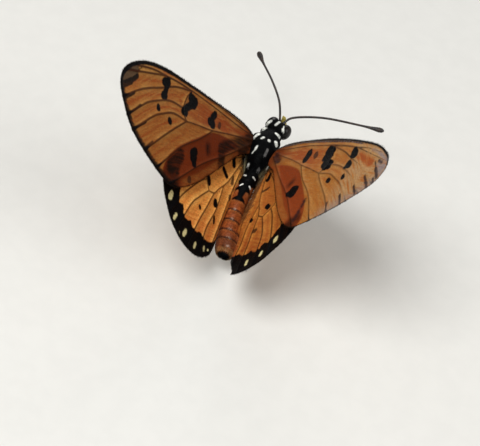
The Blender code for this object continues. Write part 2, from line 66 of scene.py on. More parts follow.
Piece = bpy.types.Object
Socket = bpy.types.NodeSocket


class Side(Enum):
    """The side of the animal that a part belongs to."""

    LEFT = -1
    RIGHT = 1

    @property
    def word(self) -> str:
        """Return the side's name as the nodes have it."""
        return self.name.lower()


def srgb(red: float, green: float, blue: float) -> tuple[float, float, float, float]:
    """Turn a colour as a screen shows it into the linear values that a shader takes.

    Args:
        red: Red, from 0 to 255.
        green: Green, from 0 to 255.
        blue: Blue, from 0 to 255.

    Returns:
        The linear colour with full opacity.
    """
    channels = []
    for value in (red, green, blue):
        share = value / 255.0
        channels.append(share / 12.92 if share <= 0.04045 else ((share + 0.055) / 1.055) ** 2.4)
    return (*channels, 1.0)


def ease(value: Array | float) -> Array | float:
    """Ease from 0 to 1 as value goes from 0 to 1."""
    value = np.clip(value, 0.0, 1.0)
    return value * value * (3.0 - 2 * value)


def smooth_path(points: list | tuple, step: float, closed: bool = False) -> Array:
    """Return points every step millimetres along a smooth curve through the given points.

    Args:
        points: The points that the curve passes through.
        step: The distance between the returned points.
        closed: Whether the curve returns to its start.

    Returns:
        An array with one row for each point.
    """
    knots = np.array(points, float)
    if closed:
        knots = np.vstack((knots[-1], knots, knots[:2]))
    else:
        knots = np.vstack((2 * knots[0] - knots[1], knots, 2 * knots[-1] - knots[-2]))
    path = []
    for before, start, end, after in zip(knots, knots[1:], knots[2:], knots[3:]):
        pieces = max(1, round(float(np.linalg.norm(end - start)) / step))
        for piece in range(pieces):
            t = piece / pieces
            path.append(0.5 * (2 * start + (end - before) * t
                               + (2 * before - 5.0 * start + 4.0 * end - after) * t ** 2
                               + (3.0 * start - before - 3.0 * end + after) * t ** 3))
    if not closed:
        path.append(knots[-2])
    return np.array(path)


def distance_to_path(points: Array, path: Array) -> Array:
    """Return each point's distance to a path of straight pieces, in two or three dimensions."""
    nearest = np.full(len(points), np.inf)
    for start, end in zip(path[:-1], path[1:]):
        run = end - start
        share = np.clip((points - start) @ run / max(float(run @ run), 1e-12), 0.0, 1.0)
        away = np.linalg.norm(points - start - share[:, None] * run, axis=1)
        nearest = np.minimum(nearest, away)
    return nearest


def turned(flat: Array, angle: float) -> tuple[Array, Array]:
    """Return both measures of flat points after a turn about the hinge."""
    along, across = flat.T
    return (along * math.cos(angle) - across * math.sin(angle),
            along * math.sin(angle) + across * math.cos(angle))


def inside(points: Array, outline: Array) -> Array:
    """Say for each flat point whether it lies inside a closed outline."""
    found = np.zeros(len(points), bool)
    for start, end in zip(outline, np.roll(outline, -1, axis=0)):
        rise = end[1] - start[1]
        if rise == 0.0:
            continue
        spans = (start[1] > points[:, 1]) != (end[1] > points[:, 1])
        crossing = start[0] + (end[0] - start[0]) * (points[:, 1] - start[1]) / rise
        found ^= spans & (points[:, 0] < crossing)
    return found


def depth_inside(points: Array, outline: Array) -> Array:
    """Return how deep each flat point lies inside a closed outline, negative outside it."""
    away = distance_to_path(points, np.vstack((outline, outline[:1])))
    return np.where(inside(points, outline), away, -away)


def patch_depth(points: Array, patches: tuple) -> Array:
    """Return how deep each point lies in the nearest of several patches, negative outside them.

    Args:
        points: Flat or body points.
        patches: For each patch both ends of a short line, then how far the patch reaches from it.

    Returns:
        One depth for each point.
    """
    deepest = np.full(len(points), OUTSIDE)
    for *ends, reach in patches:
        line = np.array(ends, float).reshape(2, -1)
        deepest = np.maximum(deepest, reach - distance_to_path(points, line))
    return deepest


def lengths_along(path: Array, extra: Array | float = 0.0) -> Array:
    """Return how far along a path each of its points lies."""
    steps = np.linalg.norm(np.diff(path, axis=0), axis=1)
    return np.concatenate(((0.0,), np.cumsum(steps + extra)))


def spaced_out(path: Array, length: Array, step: float) -> Array:
    """Return a path again with its points one step apart, by the given lengths along it."""
    count = max(2, round(float(length[-1]) / step))
    stops = np.linspace(0.0, length[-1], count + 1)
    return np.column_stack([np.interp(stops, length, column) for column in path.T])


def even_path(points: list | tuple, step: float) -> Array:
    """Return evenly spaced points along a smooth curve through the given points."""
    fine = smooth_path(points, step / 4.0)
    return spaced_out(fine, lengths_along(fine), step)


def girth_along(path: Array, shares: tuple, values: tuple) -> Array:
    """Return a girth for each point of a path from values at shares of its length."""
    length = lengths_along(path)
    return np.interp(length / length[-1], shares, values)


@dataclass(frozen=True)
class Stance:
    """How the body's own axes stand over the floor."""

    pitch_deg: float = 8.0
    place: tuple = (0.255, -2.63, 9.0)

    def matrix(self) -> Matrix:
        """Return the turn and shift from the stance's own frame to the world, in metres."""
        shift = Matrix.Translation(Vector(self.place) * MM)
        return shift @ Matrix.Rotation(math.radians(-self.pitch_deg), 4, "X")

    def to_world(self, points: Array) -> Array:
        """Turn body measurements in millimetres into world positions in metres."""
        matrix = np.array(self.matrix())
        local = np.asarray(points, float) * (-1.0, -1.0, 1.0) * MM
        return local @ matrix[:3, :3].T + matrix[:3, 3]

    def direction(self, ways: Array) -> Array:
        """Turn body directions into world directions."""
        matrix = np.array(self.matrix())[:3, :3]
        return (np.asarray(ways, float) * (-1.0, -1.0, 1.0)) @ matrix.T

    def over_floor(self, side: Side, out: float, back: float, height: float) -> Array:
        """Return the body measurement of a point given over the floor below the hinges."""
        world = Vector((-side.value * out, back, height)) * MM
        level = Matrix.Translation((0.0, 0.0, self.place[2] * MM))
        stood = level @ Matrix.Rotation(math.radians(-self.pitch_deg), 4, "X")
        local = stood.inverted() @ world
        return np.array((-local.x, -local.y, local.z)) / MM


STANCE = Stance()


def make_mesh(name: str, points: Array, faces: list, edges: list | None = None) -> Mesh:
    """Return a smooth mesh of body measurements, placed in the world.

    Args:
        name: The mesh's name.
        points: Body measurements in millimetres.
        faces: Lists of point indices, facing outwards.
        edges: Pairs of point indices, for a mesh without faces.

    Returns:
        The new mesh.
    """
    mesh = bpy.data.meshes.new(name)
    mesh.from_pydata([tuple(point) for point in STANCE.to_world(points)], edges or [], faces)
    mesh.shade_smooth()
    return mesh


def read(items: bpy.types.bpy_prop_collection, name: str, width: int = 1,
         kind: type = np.int32) -> Array:
    """Return one property of each item: a number, or a row of width numbers."""
    values = np.empty(len(items) * width, kind)
    items.foreach_get(name, values)
    return values.reshape(-1, width) if width > 1 else values


def add_field(mesh: Mesh, name: str, values: Array) -> None:
    """Give a mesh one number, one vector or one colour for each point.

    Args:
        mesh: The mesh to mark.
        name: The attribute's name.
        values: One number, three numbers or four numbers for each point.
    """
    values = np.asarray(values, np.float32)
    kind, key = {1: ("FLOAT", "value"), 3: ("FLOAT_VECTOR", "vector"),
                 4: ("FLOAT_COLOR", "color")}[values.size // len(values)]
    mesh.attributes.new(name, kind, "POINT").data.foreach_set(key, values.ravel())


def add_bake_map(mesh: Mesh, corners: Array) -> None:
    """Give a mesh the map that its finish is baked to, with one place for each face corner."""
    layer = mesh.uv_layers.new(name="OFBake")
    layer.uv.foreach_set("vector", np.asarray(corners, np.float32).ravel())


def keep_skin_place(mesh: Mesh) -> None:
    """Keep a copy of the bake map for the coat that grows on this mesh."""
    places = read(mesh.uv_layers["OFBake"].uv, "vector", 2, np.float32)
    spots = np.column_stack((places, np.zeros(len(places), np.float32)))
    kept = mesh.attributes.new("skin_place", "FLOAT_VECTOR", "CORNER")
    kept.data.foreach_set("vector", spots.ravel())


def add_object(name: str, data: bpy.types.ID) -> Piece:
    """Add an object of some data to the scene."""
    thing = bpy.data.objects.new(name, data)
    bpy.context.scene.collection.objects.link(thing)
    return thing


def add_piece(name: str, mesh: Mesh, material: Material,
              replaced: tuple = ()) -> Piece:
    """Add one finished piece to the scene and tell the frame about it.

    Args:
        name: The piece's name.
        mesh: Its mesh, placed in the world.
        material: Its finish.
        replaced: The solids that it stands for.

    Returns:
        The new object.
    """
    mesh.materials.clear()
    mesh.materials.append(material)
    piece = add_object(name, mesh)
    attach(piece, ROOT_BODY)
    if replaced:
        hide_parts(*replaced)
    LOG.info("%s: %d faces", name, len(mesh.polygons))
    return piece


class Nodes:
    """A node tree whose nodes are added and joined by short calls."""

    tree: bpy.types.NodeTree

    def set(self, socket: Socket, value: object) -> None:
        """Join a socket to another, or give it a plain value."""
        if isinstance(value, Socket):
            self.tree.links.new(value, socket)
        else:
            socket.default_value = value

    def node(self, kind: str, inputs: dict, **settings: object) -> bpy.types.Node:
        """Add a node.

        Args:
            kind: The node's type.
            inputs: What its sockets take, by position or by name.
            settings: Its own choices.

        Returns:
            The new node.
        """
        node = self.tree.nodes.new(kind)
        for name, value in settings.items():
            setattr(node, name, value)
        for key, value in inputs.items():
            self.set(node.inputs[key], value)
        return node

    def math(self, operation: str, first: object, second: object) -> Socket:
        """Combine two numbers."""
        return self.node("ShaderNodeMath", {0: first, 1: second}, operation=operation).outputs[0]

    def times(self, first: object, *others: object) -> Socket:
        """Multiply numbers."""
        for other in others:
            first = self.math("MULTIPLY", first, other)
        return first

    def scaled(self, vector: object, scale: object) -> Socket:
        """Scale a vector or the brightness of a colour."""
        node = self.node("ShaderNodeVectorMath", {0: vector, "Scale": scale}, operation="SCALE")
        return node.outputs[0]


class Graph(Nodes):
    """The nodes of one material."""

    def __init__(self, name: str) -> None:
        """Start a material of this name."""
        self.material = bpy.data.materials.new(name)
        self.material.use_nodes = True
        self.tree = self.material.node_tree
        self.shader = self.tree.nodes["Principled BSDF"]

    def set(self, socket: Socket, value: object) -> None:
        """Join a socket to another or to a named attribute, or give it a plain value."""
        super().set(socket, self.field(value) if isinstance(value, str) else value)

    def finish(self, **values: object) -> Material:
        """Set the shader's own sockets, each named with _ for a space, and return the material."""
        for name, value in values.items():
            self.set(self.shader.inputs[name.replace("_", " ")], value)
        return self.material

    def field(self, name: str, output: str = "Fac") -> Socket:
        """Read an attribute of the piece."""
        return self.node("ShaderNodeAttribute", {}, attribute_name=name).outputs[output]

    def millimetres(self) -> Socket:
        """Return the place on the piece in millimetres."""
        return self.scaled(self.node("ShaderNodeTexCoord", {}).outputs["Object"], 1.0 / MM)

    def stretched(self, vector: Socket, scale: tuple) -> Socket:
        """Stretch a place differently along its axes."""
        return self.node("ShaderNodeMapping", {"Vector": vector, "Scale": scale}).outputs["Vector"]

    def rise(self, value: object, low: float, high: float, start: float = 0.0,
             end: float = 1.0) -> Socket:
        """Ease from start to end while a number goes from low to high."""
        node = self.node("ShaderNodeMapRange", {"Value": value, "From Min": low, "From Max": high,
                                                "To Min": start, "To Max": end},
                         interpolation_type="SMOOTHSTEP")
        return node.outputs["Result"]

    def noise(self, vector: Socket, scale: float, detail: float = 2.0) -> Socket:
        """Return soft noise, about 0.5 on the whole."""
        inputs = {"Vector": vector, "Scale": scale, "Detail": detail}
        return self.node("ShaderNodeTexNoise", inputs).outputs["Fac"]

    def cells(self, vector: Socket, scale: float, output: str) -> Socket:
        """Return a pattern of small cells."""
        return self.node("ShaderNodeTexVoronoi", {"Vector": vector, "Scale": scale}).outputs[output]

    def mix(self, first: object, second: object, *shares: object) -> Socket:
        """Lay a second colour over a first by the product of some shares."""
        inputs = {0: self.times(*shares), 6: first, 7: second}
        return self.node("ShaderNodeMix", inputs, data_type="RGBA").outputs[2]

    def ragged(self, name: str, noise: Socket, strength: float) -> Socket:
        """Read an attribute of the piece, made uneven by a noise."""
        uneven = self.times(self.math("SUBTRACT", noise, 0.5), strength)
        return self.math("ADD", name, uneven)

    def bump(self, height: object, depth_mm: float) -> Socket:
        """Return a normal bumped by a height."""
        inputs = {"Height": height, "Distance": depth_mm * MM, "Strength": 1.0}
        return self.node("ShaderNodeBump", inputs).outputs["Normal"]


@dataclass(frozen=True)
class WingFinish:
    """The dusty, scaled finish of one wing, painted from the wing's own measures, with painted
    shade where the wings overlap and painted sheen on the right forewing.
    """

    name: str
    ground: tuple
    rich: tuple
    pale: tuple
    root: tuple = srgb(104, 44, 18)
    vein: tuple = srgb(58, 28, 12)
    black: tuple = srgb(5, 4, 5)
    brown: tuple = srgb(52, 30, 18)
    cream: tuple = srgb(206, 194, 140)
    # shaded: painted shade where the hindwing lies under the forewing.
    shaded: tuple = srgb(112, 40, 15)
    smoke: tuple = srgb(70, 58, 44)
    dusk: tuple = srgb(40, 18, 8)
    # The next two colours are painted sheen on the right forewing's tip and edge.
    sheen: tuple = srgb(158, 146, 150)
    sheen_pale: tuple = srgb(188, 150, 104)
    fleck: tuple = srgb(140, 62, 22)
    # border: painted shadow of the hindwing's dark border and spots showing through the forewing.
    border: tuple = srgb(40, 15, 7)
    under: tuple = srgb(214, 168, 112)
    sheen_amount: float = 0.0
    flecks: float = 0.0
    lining: float = 0.85

    def material(self) -> Material:
        """Return the finish as a material."""
        graph = Graph(self.name)
        place = graph.field("wing_place", "Vector")
        grain = graph.noise(graph.stretched(place, (1.2, 2.6, 1.0)), 2.2, 4.0)
        scales = graph.stretched(place, (5.5, 8.5, 1.0))
        speck = graph.cells(scales, 1.0, "Color")
        seam = graph.cells(scales, 1.0, "Distance")
        colour = self.marks(graph, self.ground_colour(graph, place, grain), grain)
        colour = graph.scaled(colour, graph.rise(speck, 0, 1, 0.84, 1.14))
        colour = graph.scaled(colour, graph.rise(grain, 0.25, 0.75, 0.88, 1.1))
        height = graph.math("ADD", graph.times(seam, -0.6), graph.times(speck, 0.5))
        return graph.finish(Base_Color=colour, Roughness=graph.rise(speck, 0, 1, 0.5, 0.72),
                            Normal=graph.bump(height, 0.03), Specular_IOR_Level=0.05)

    def ground_colour(self, graph: Graph, place: Socket, grain: Socket) -> Socket:
        """Return the wing's colour below its veins and marks, laid on in layers, painted shade and
        painted sheen among them.
        """
        soft = graph.noise(graph.stretched(place, (0.35, 0.5, 1.0)), 1.0, 3.0)
        flow = graph.field("wing_flow", "Vector")
        streaks = graph.noise(graph.stretched(flow, (0.4, 3.2, 1.0)), 1.0, 3.0)
        shaded = graph.rise(graph.ragged("overlap", grain, 0.3), -0.12, 0.18, 0, 0.93)
        blurred = graph.rise(graph.ragged("dusk", streaks, 0.9), 0.28, 0.95, 0, 0.94)
        dots = graph.rise(graph.noise(place, 3.4, 1), 0.62, 0.7)
        colour = self.ground
        for paint, *shares in (
                (self.rich, "rich"),
                (self.rich, graph.rise("crease", 0.5, 0.05), "outer", 0.75),
                (self.pale, graph.rise("vein", 0.75, 0.18), graph.rise(soft, 0.3, 0.7), 0.75),
                # light: a pale streak behind the forewing's front edge; on the right hindwing, a
                # painted highlight along its fold.
                (self.pale, "light", 0.85),
                (self.pale, graph.rise(streaks, 0.45, 0.75, 0, 0.5)),
                (self.rich, graph.rise(streaks, 0.5, 0.25, 0, 0.5)),
                (self.root, "rooted"),
                # Painted shade where the hindwing lies under the forewing, lighter along the
                # forewing's rear edge.
                (self.shaded, shaded, graph.rise("strip", 0, 1, 1, 0.55)),
                # Painted shadow of the hindwing's dark border and spots showing through the
                # forewing.
                (self.border, "through", graph.rise(soft, 0.1, 0.7), 0.85),
                (self.fleck, dots, "inner", self.flecks),
                # Painted sheen: the right forewing's tip paled.
                (self.sheen_pale, graph.rise(streaks, 0.3, 0.6), "sheen", self.sheen_amount),
                (self.smoke, "smoke", 0.9),
                # dusk: dark vein ends and tip streaks, with painted shade where the hindwing lies
                # under the forewing.
                (self.dusk, blurred)):
            colour = graph.mix(colour, paint, *shares)
        return graph.mix(graph.mix(colour, self.under, 0.6), colour, "upper")

    def marks(self, graph: Graph, colour: Socket, grain: Socket) -> Socket:
        """Draw the veins, lay the brown, black and cream marks over the wing, then a painted sheen.
        """
        away = graph.math("SUBTRACT", "vein", graph.times("outer", 0.05))
        colour = graph.mix(colour, self.vein, graph.rise(away, 0.17, 0.02, 0, self.lining))
        for name, paint, strength in (("brown", self.brown, 0.85), ("black", self.black, 1.0),
                                      ("cream", self.cream, 0.95)):
            depth = graph.ragged(name, grain, 0.34)
            colour = graph.mix(colour, paint, graph.rise(depth, -0.1, 0.1, 0, strength))
        # Painted sheen: a lilac tint in rays on the right forewing's tip and edge.
        ray = graph.noise(graph.stretched(graph.field("wing_flow", "Vector"), (0.3, 1.6, 1.0)), 1.0)
        return graph.mix(colour, self.sheen, graph.rise(ray, 0.25, 0.5, 0.3, 1),
                         "sheen_bloom", self.sheen_amount)


@dataclass(frozen=True)
class CoatFinish:
    """Scales and hair, or the skin under them, coloured by the skin's own markings."""

    name: str
    roughness: float = 0.5
    grain_mm: float = 0.09
    variation: float = 0.25
    relief_mm: float = 0.02

    def material(self) -> Material:
        """Return the finish as a material."""
        graph = Graph(self.name)
        place = graph.millimetres()
        tuft = graph.noise(place, 0.5 / self.grain_mm, 2.0)
        tone = graph.rise(tuft, 0.3, 0.7, 1 - self.variation, 1 + self.variation)
        colour = graph.scaled(graph.field("coat_colour", "Color"), tone)
        patchy = graph.noise(place, 1.7, 3.0)
        colour = graph.scaled(colour, graph.rise(patchy, 0.3, 0.7, 0.72, 1.24))
        height = graph.noise(place, 1.0 / self.grain_mm, 2.0)
        return graph.finish(Base_Color=colour, Roughness=self.roughness,
                            Normal=graph.bump(height, self.relief_mm), Specular_IOR_Level=0.04)


@dataclass(frozen=True)
class HornFinish:
    """Hard dark cuticle, as on the feelers, tongue, legs and claws."""

    name: str
    dark: tuple = srgb(20, 17, 16)
    light: tuple = srgb(58, 44, 34)
    grain_mm: float = 0.12
    roughness: float = 0.36

    def material(self) -> Material:
        """Return the finish as a material."""
        graph = Graph(self.name)
        place = graph.millimetres()
        patchy = graph.rise(graph.noise(place, 0.3 / self.grain_mm, 4), 0.42, 0.7)
        colour = graph.mix(self.dark, self.light, patchy)
        rough = graph.rise(patchy, 0, 1, self.roughness, self.roughness + 0.2)
        height = graph.cells(place, 1.0 / self.grain_mm, "Distance")
        return graph.finish(Base_Color=colour, Roughness=rough, Normal=graph.bump(height, 0.012),
                            Specular_IOR_Level=0.5)


@dataclass(frozen=True)
class EyeFinish:
    """The glassy facets of a compound eye."""

    name: str = "compound_eye"

    def material(self) -> Material:
        """Return the finish as a material."""
        graph = Graph(self.name)
        place = graph.millimetres()
        cloud = graph.rise(graph.noise(place, 0.9, 3), 0.35, 0.65)
        colour = graph.mix(srgb(12, 10, 9), srgb(30, 22, 17), cloud)
        # Darker where the lenses meet, lighter at their middles: painted shade in the grooves
        # between the lenses.
        colour = graph.scaled(colour, graph.rise("lens", 0, 1, 0.55, 1.1))
        return graph.finish(Base_Color=colour, Roughness=graph.rise(cloud, 0, 1, 0.24, 0.34),
                            Coat_Weight=0.06, Coat_Roughness=0.15, Specular_IOR_Level=0.2)


@dataclass(frozen=True)
class FloorFinish:
    """Plain pale card."""

    colour: tuple = srgb(214, 213, 208)

    def material(self) -> Material:
        """Return the finish as a material."""
        graph = Graph("pale_floor")
        grain = graph.noise(graph.millimetres(), 0.4, 3.0)
        colour = graph.scaled(self.colour[:3], graph.rise(grain, 0.3, 0.7, 0.985, 1.01))
        return graph.finish(Base_Color=colour, Roughness=0.8)


@dataclass
class Studio:
    """The camera, the floor and the lights."""

    eye: tuple = (21.0, -137.8, 174.4)
    right_way: tuple = (0.940, 0.319, 0.121)
    up_way: tuple = (-0.328, 0.750, 0.575)
    lens_mm: float = 135.0
    floor_size: float = 1.2
    aim: tuple = (0.0, 0.0, 0.012)
    ambient: float = 0.25

    def build(self) -> None:
        """Make everything round the butterfly."""
        self.camera()
        self.floor()
        self.lights()

    def camera(self) -> None:
        """Set the camera where the photograph's stood, turned with the animal."""
        right, ahead = STANCE.direction(np.array((self.right_way, self.up_way)))
        right = Vector(right).normalized()
        back = right.cross(Vector(ahead)).normalized()
        up = back.cross(right)
        data = bpy.data.cameras.new("camera")
        data.lens = self.lens_mm
        data.sensor_width = 36.0
        data.clip_start = 0.01
        data.clip_end = 5.0
        camera = add_object("camera", data)
        turn = Matrix((right, up, back)).transposed().to_4x4()
        camera.matrix_world = Matrix.Translation(STANCE.to_world(np.array(self.eye))) @ turn
        bpy.context.scene.camera = camera

    def floor(self) -> None:
        """Lay the floor."""
        half = self.floor_size / 2.0
        mesh = bpy.data.meshes.new("floor")
        corners = [(-half, -half, 0.0), (half, -half, 0.0), (half, half, 0.0), (-half, half, 0.0)]
        mesh.from_pydata(corners, [], [(0, 1, 2, 3)])
        mesh.materials.append(FloorFinish().material())
        floor = add_object("floor", mesh)

    def lights(self) -> None:
        """Hang three soft lights and fill the rest with pale light."""
        for name, place, size, power in (("key", (0.10, 0.16, 0.34), 0.22, 1.35),
                                         ("fill", (-0.30, 0.05, 0.24), 0.3, 0.55),
                                         ("front", (0.05, -0.36, 0.18), 0.3, 0.4)):
            data = bpy.data.lights.new(name, "AREA")
            data.shape = "DISK"
            data.size = size
            data.energy = power
            light = add_object(name, data)
            way = Vector(self.aim) - Vector(place)
            light.matrix_world = (Matrix.Translation(place)
                                  @ way.to_track_quat("-Z", "Y").to_matrix().to_4x4())
        world = bpy.data.worlds.new("studio")
        world.use_nodes = True
        backdrop = world.node_tree.nodes["Background"]
        backdrop.inputs["Color"].default_value = (1.0, 0.99, 0.97, 1.0)
        backdrop.inputs["Strength"].default_value = self.ambient
        bpy.context.scene.world = world
        bpy.context.scene.view_settings.view_transform = "Standard"


@dataclass
class Wing:
    """One wing: a flat drawing of outline, veins and marks, set in its plane.

    Its two kinds say how their points are drawn and how far they lift off the plane.
    """

    side: Side
    outline: tuple = ()
    veins: tuple = ()
    open_deg: float = 65.0
    hinge: tuple = (1.93, -0.55, 0.18)
    sight: tuple = (0.094, -0.617, 0.781)
    grid: float = 0.15
    row_share: float = 0.87
    edge_share: float = 0.55
    thickness: float = 0.11
    edge_thinness: float = 0.35
    edge_slope: float = 0.4
    vein_rise: float = 0.075
    vein_width: float = 0.3
    sag: float = 0.11
    sag_reach: float = 0.55
    lower_ridge: float = 0.5
    flow: float = 0.0
    fringe: tuple = srgb(30, 20, 12)

    def __post_init__(self) -> None:
        """Work out the wing's plane."""
        sweep = DRAWN_SWEEP if self.side is Side.LEFT else math.radians(26.6)
        half = math.radians(self.open_deg / 2.0)
        sign = self.side.value
        self.outwards = np.array((sign * math.sin(half), 0.0, math.cos(half)))
        self.inner_normal = np.array((-sign * math.cos(half), 0.0, math.sin(half)))
        back = np.array((0.0, -1.0, 0.0))
        self.along_way = self.outwards * math.cos(sweep) + back * math.sin(sweep)
        self.across_way = back * math.cos(sweep) - self.outwards * math.sin(sweep)
        sight = np.array(self.sight)
        self.rise = sight / float(sight @ self.inner_normal)
        self.margin = smooth_path(self.outline, self.grid, closed=True)
        self.paths = [smooth_path(np.reshape(vein, (-1, 2)), 0.4) for vein in self.veins]

    def place(self, flat: Array) -> Array:
        """Return the body measurements of points of the flat drawing."""
        drawn = self.drawn(flat)
        level = (np.array(self.hinge) * self.side.value + drawn[:, :1] * self.along_way
                 + drawn[:, 1:] * self.across_way)
        return level + self.lift(flat)[:, None] * self.rise

    def lattice(self) -> tuple[Array, list]:
        """Return the drawing's points and its triangles."""
        low = self.margin.min(axis=0)
        high = self.margin.max(axis=0)
        row_step = self.grid * self.row_share
        rows = int((high[1] - low[1]) / row_step) + 1
        columns = int((high[0] - low[0]) / self.grid) + 1
        row, column = np.meshgrid(np.arange(rows), np.arange(columns), indexing="ij")
        spots = np.stack((low[0] + (column + 0.5 * (row % 2)) * self.grid,
                          low[1] + row * row_step), axis=-1).reshape(-1, 2)
        spots = spots[depth_inside(spots, self.margin) > self.grid * self.edge_share]
        points = np.vstack((self.margin, spots))
        vectors = [Vector((float(x), float(y))) for x, y in points]
        edge = list(range(len(self.margin)))
        within_edge, merge_mm = 1, 0.00001
        result = geometry.delaunay_2d_cdt(vectors, [], [edge], within_edge, merge_mm)
        return np.array([tuple(vector) for vector in result[0]]), result[2]

    def fields(self, flat: Array) -> dict[str, Array]:
        """Return the measures that the wing's finish is painted from."""
        away = np.sort([distance_to_path(flat, path) for path in self.paths], axis=0)
        return {"vein": away[0], "crease": away[1] - away[0]}

    def grow_fringe(self, wing: Piece, coat: "Coat", slot: str) -> None:
        """Grow the short fringe of scales along the wing's edge."""
        flat = self.flat_points
        step = 0.05
        edge = depth_inside(flat, self.margin)
        slope = np.column_stack([edge - depth_inside(flat + shift, self.margin)
                                 for shift in ((step, 0.0), (0.0, step))]) / step
        way = STANCE.direction(slope[:, :1] * self.along_way + slope[:, 1:] * self.across_way)
        thick = np.tile((edge < 0.02).astype(float), 2)
        coat.grow(wing.data, f"{wing.name}_fringe", slot,
                  Tuft(per_square_mm=150.0, width_mm=0.06, tip=0.25, bend=0.0, mess=0.2, seed=31),
                  thick=thick, length=0.05 + 0.1 * thick, stand=np.zeros(len(thick)),
                  way=np.tile(way, (2, 1)), colour=np.tile(self.fringe, (len(thick), 1)))

    def build(self, name: str, slot: str, finish: WingFinish) -> Piece:
        """Make the wing and dress it.

        Args:
            name: The wing's name, which is also its solid's.
            slot: Not used.
            finish: What it is painted with.

        Returns:
            The finished piece.
        """
        flat, faces = self.lattice()
        self.flat_points = flat
        count = len(flat)
        fields = self.fields(flat)
        middle = self.place(flat)
        normals = self.sheet_normals(middle, faces)
        edge = np.clip(depth_inside(flat, self.margin), 0, None)
        thinness = self.edge_thinness
        body = self.thickness * (thinness + (1 - thinness) * ease(edge / self.edge_slope)) / 2
        ridge = self.vein_rise * ease(1 - fields["vein"] / self.vein_width)
        hollow = self.sag * (1 - np.exp(-fields["vein"] / self.sag_reach)) * ease(edge / 0.8)
        middle = middle - normals * hollow[:, None]
        upper = middle + normals * (body + ridge)[:, None]
        lower = middle - normals * (body + ridge * self.lower_ridge)[:, None]
        top = [tuple(face) for face in faces]
        if self.faces_down(middle, faces, normals):
            top = [tuple(reversed(face)) for face in top]
        under = [tuple(index + count for index in reversed(face)) for face in top]
        rim = self.rim(top, count)
        mesh = make_mesh(name, np.vstack((upper, lower)), top + under + rim)
        for key, values in fields.items():
            add_field(mesh, key, np.tile(values, 2))
        add_field(mesh, "upper", np.repeat((1.0, 0.0), count))
        drawn = np.column_stack((self.drawn(flat), np.zeros(count)))
        below = (0.0, 0.0, 5.0)
        add_field(mesh, "wing_place", np.vstack((drawn, drawn + below)))
        curve = 0.036 * np.clip(drawn[:, 0] - 14, 0, 11) ** 2 * self.flow
        flow = np.column_stack((drawn[:, 0], drawn[:, 1] - curve, drawn[:, 2]))
        add_field(mesh, "wing_flow", np.vstack((flow, flow + below)))
        self.add_map(mesh, flat, count)
        return add_piece(name, mesh, finish.material(), (name,))

    def sheet_normals(self, middle: Array, faces: list) -> Array:
        """Return the sheet's normal at every point, on the side that faces the body."""
        triangles = np.array(faces)
        a, b, c = (middle[triangles[:, corner]] for corner in range(3))
        flat_normals = np.cross(b - a, c - a)
        flat_normals *= np.sign(flat_normals @ self.inner_normal)[:, None]
        normals = np.zeros_like(middle)
        for corner in range(3):
            np.add.at(normals, triangles[:, corner], flat_normals)
        return normals / np.linalg.norm(normals, axis=1)[:, None]

    def faces_down(self, middle: Array, faces: list, normals: Array) -> bool:
        """Say whether the triangles face away from the upper side, once seen in the world."""
        world = STANCE.to_world(middle)
        a, b, c = (world[index] for index in faces[len(faces) // 2])
        way = STANCE.direction(normals[faces[len(faces) // 2][0]])
        return float(np.cross(b - a, c - a) @ way) < 0.0

    def rim(self, faces: list, count: int) -> list:
        """Return the faces that close the sheet's edge."""
        sides = dict.fromkeys(side for face in faces for side in zip(face, face[1:] + face[:1]))
        return [(end, start, start + count, end + count) for start, end in sides
                if (end, start) not in sides]

    def add_map(self, mesh: Mesh, flat: Array, count: int) -> None:
        """Lay both faces of the wing side by side on the map that its finish is baked to."""
        low = flat.min(axis=0)
        span = flat.max(axis=0) - low
        share = (flat - low) / span
        wide = span[0] > 1.6 * span[1]
        long, short, half, gap, rim_width = 0.96, 0.46, 0.5, 0.02, 0.006
        box = np.array((long, short) if wide else (short, long))
        step = np.array((0.0, half) if wide else (half, 0.0))
        spots = np.vstack((gap + share * box, gap + step + share * box))
        corners = read(mesh.loops, "vertex_index")
        totals = read(mesh.polygons, "loop_total")
        on_rim = np.repeat(totals == 4, totals)
        wrapped = np.where(on_rim, corners % count, corners)
        places = spots[wrapped]
        outwards = share[wrapped % count] - half
        on_lower_rim = (on_rim & (corners >= count))[:, None]
        places = np.where(on_lower_rim, places + outwards * rim_width, places)
        add_bake_map(mesh, places)


# An outline or a vein is a row of numbers: along, across, along, across, point by point.
FOREWING_OUTLINE = np.array((
    -0.9, 0.5, 0.75, -0.62, 4.3, -1.35, 9, -1.8, 14.5, -2.3, 19.6, -2.65, 23.6, -2.4, 26.6, -1.45,
    28.3, -0.2, 28.65, 1.3, 27.6, 3.5, 25.6, 6, 22.5, 8, 19.1, 9.7, 17, 10.4, 14.6, 10.1,
    11, 8.55, 6, 5.4, 2.4, 3.1, -0.2, 2.2
)).reshape(-1, 2)
HINDWING_OUTLINE = np.array((
    0.1, 3.1, 2.4, 2.2, 5.4, 1.8, 9.2, 2.1, 12.6, 3.7, 15.9, 5.5, 18, 7.3, 18.7, 9.2, 18.3, 11.2,
    17.4, 12.8, 15.7, 14.8, 13.2, 16.5, 10.7, 17.3, 8.6, 17.2, 6.7, 16.1, 5, 13.3, 3.6, 10.3, 2.3,
    7.4, 0.9, 5.0
)).reshape(-1, 2)
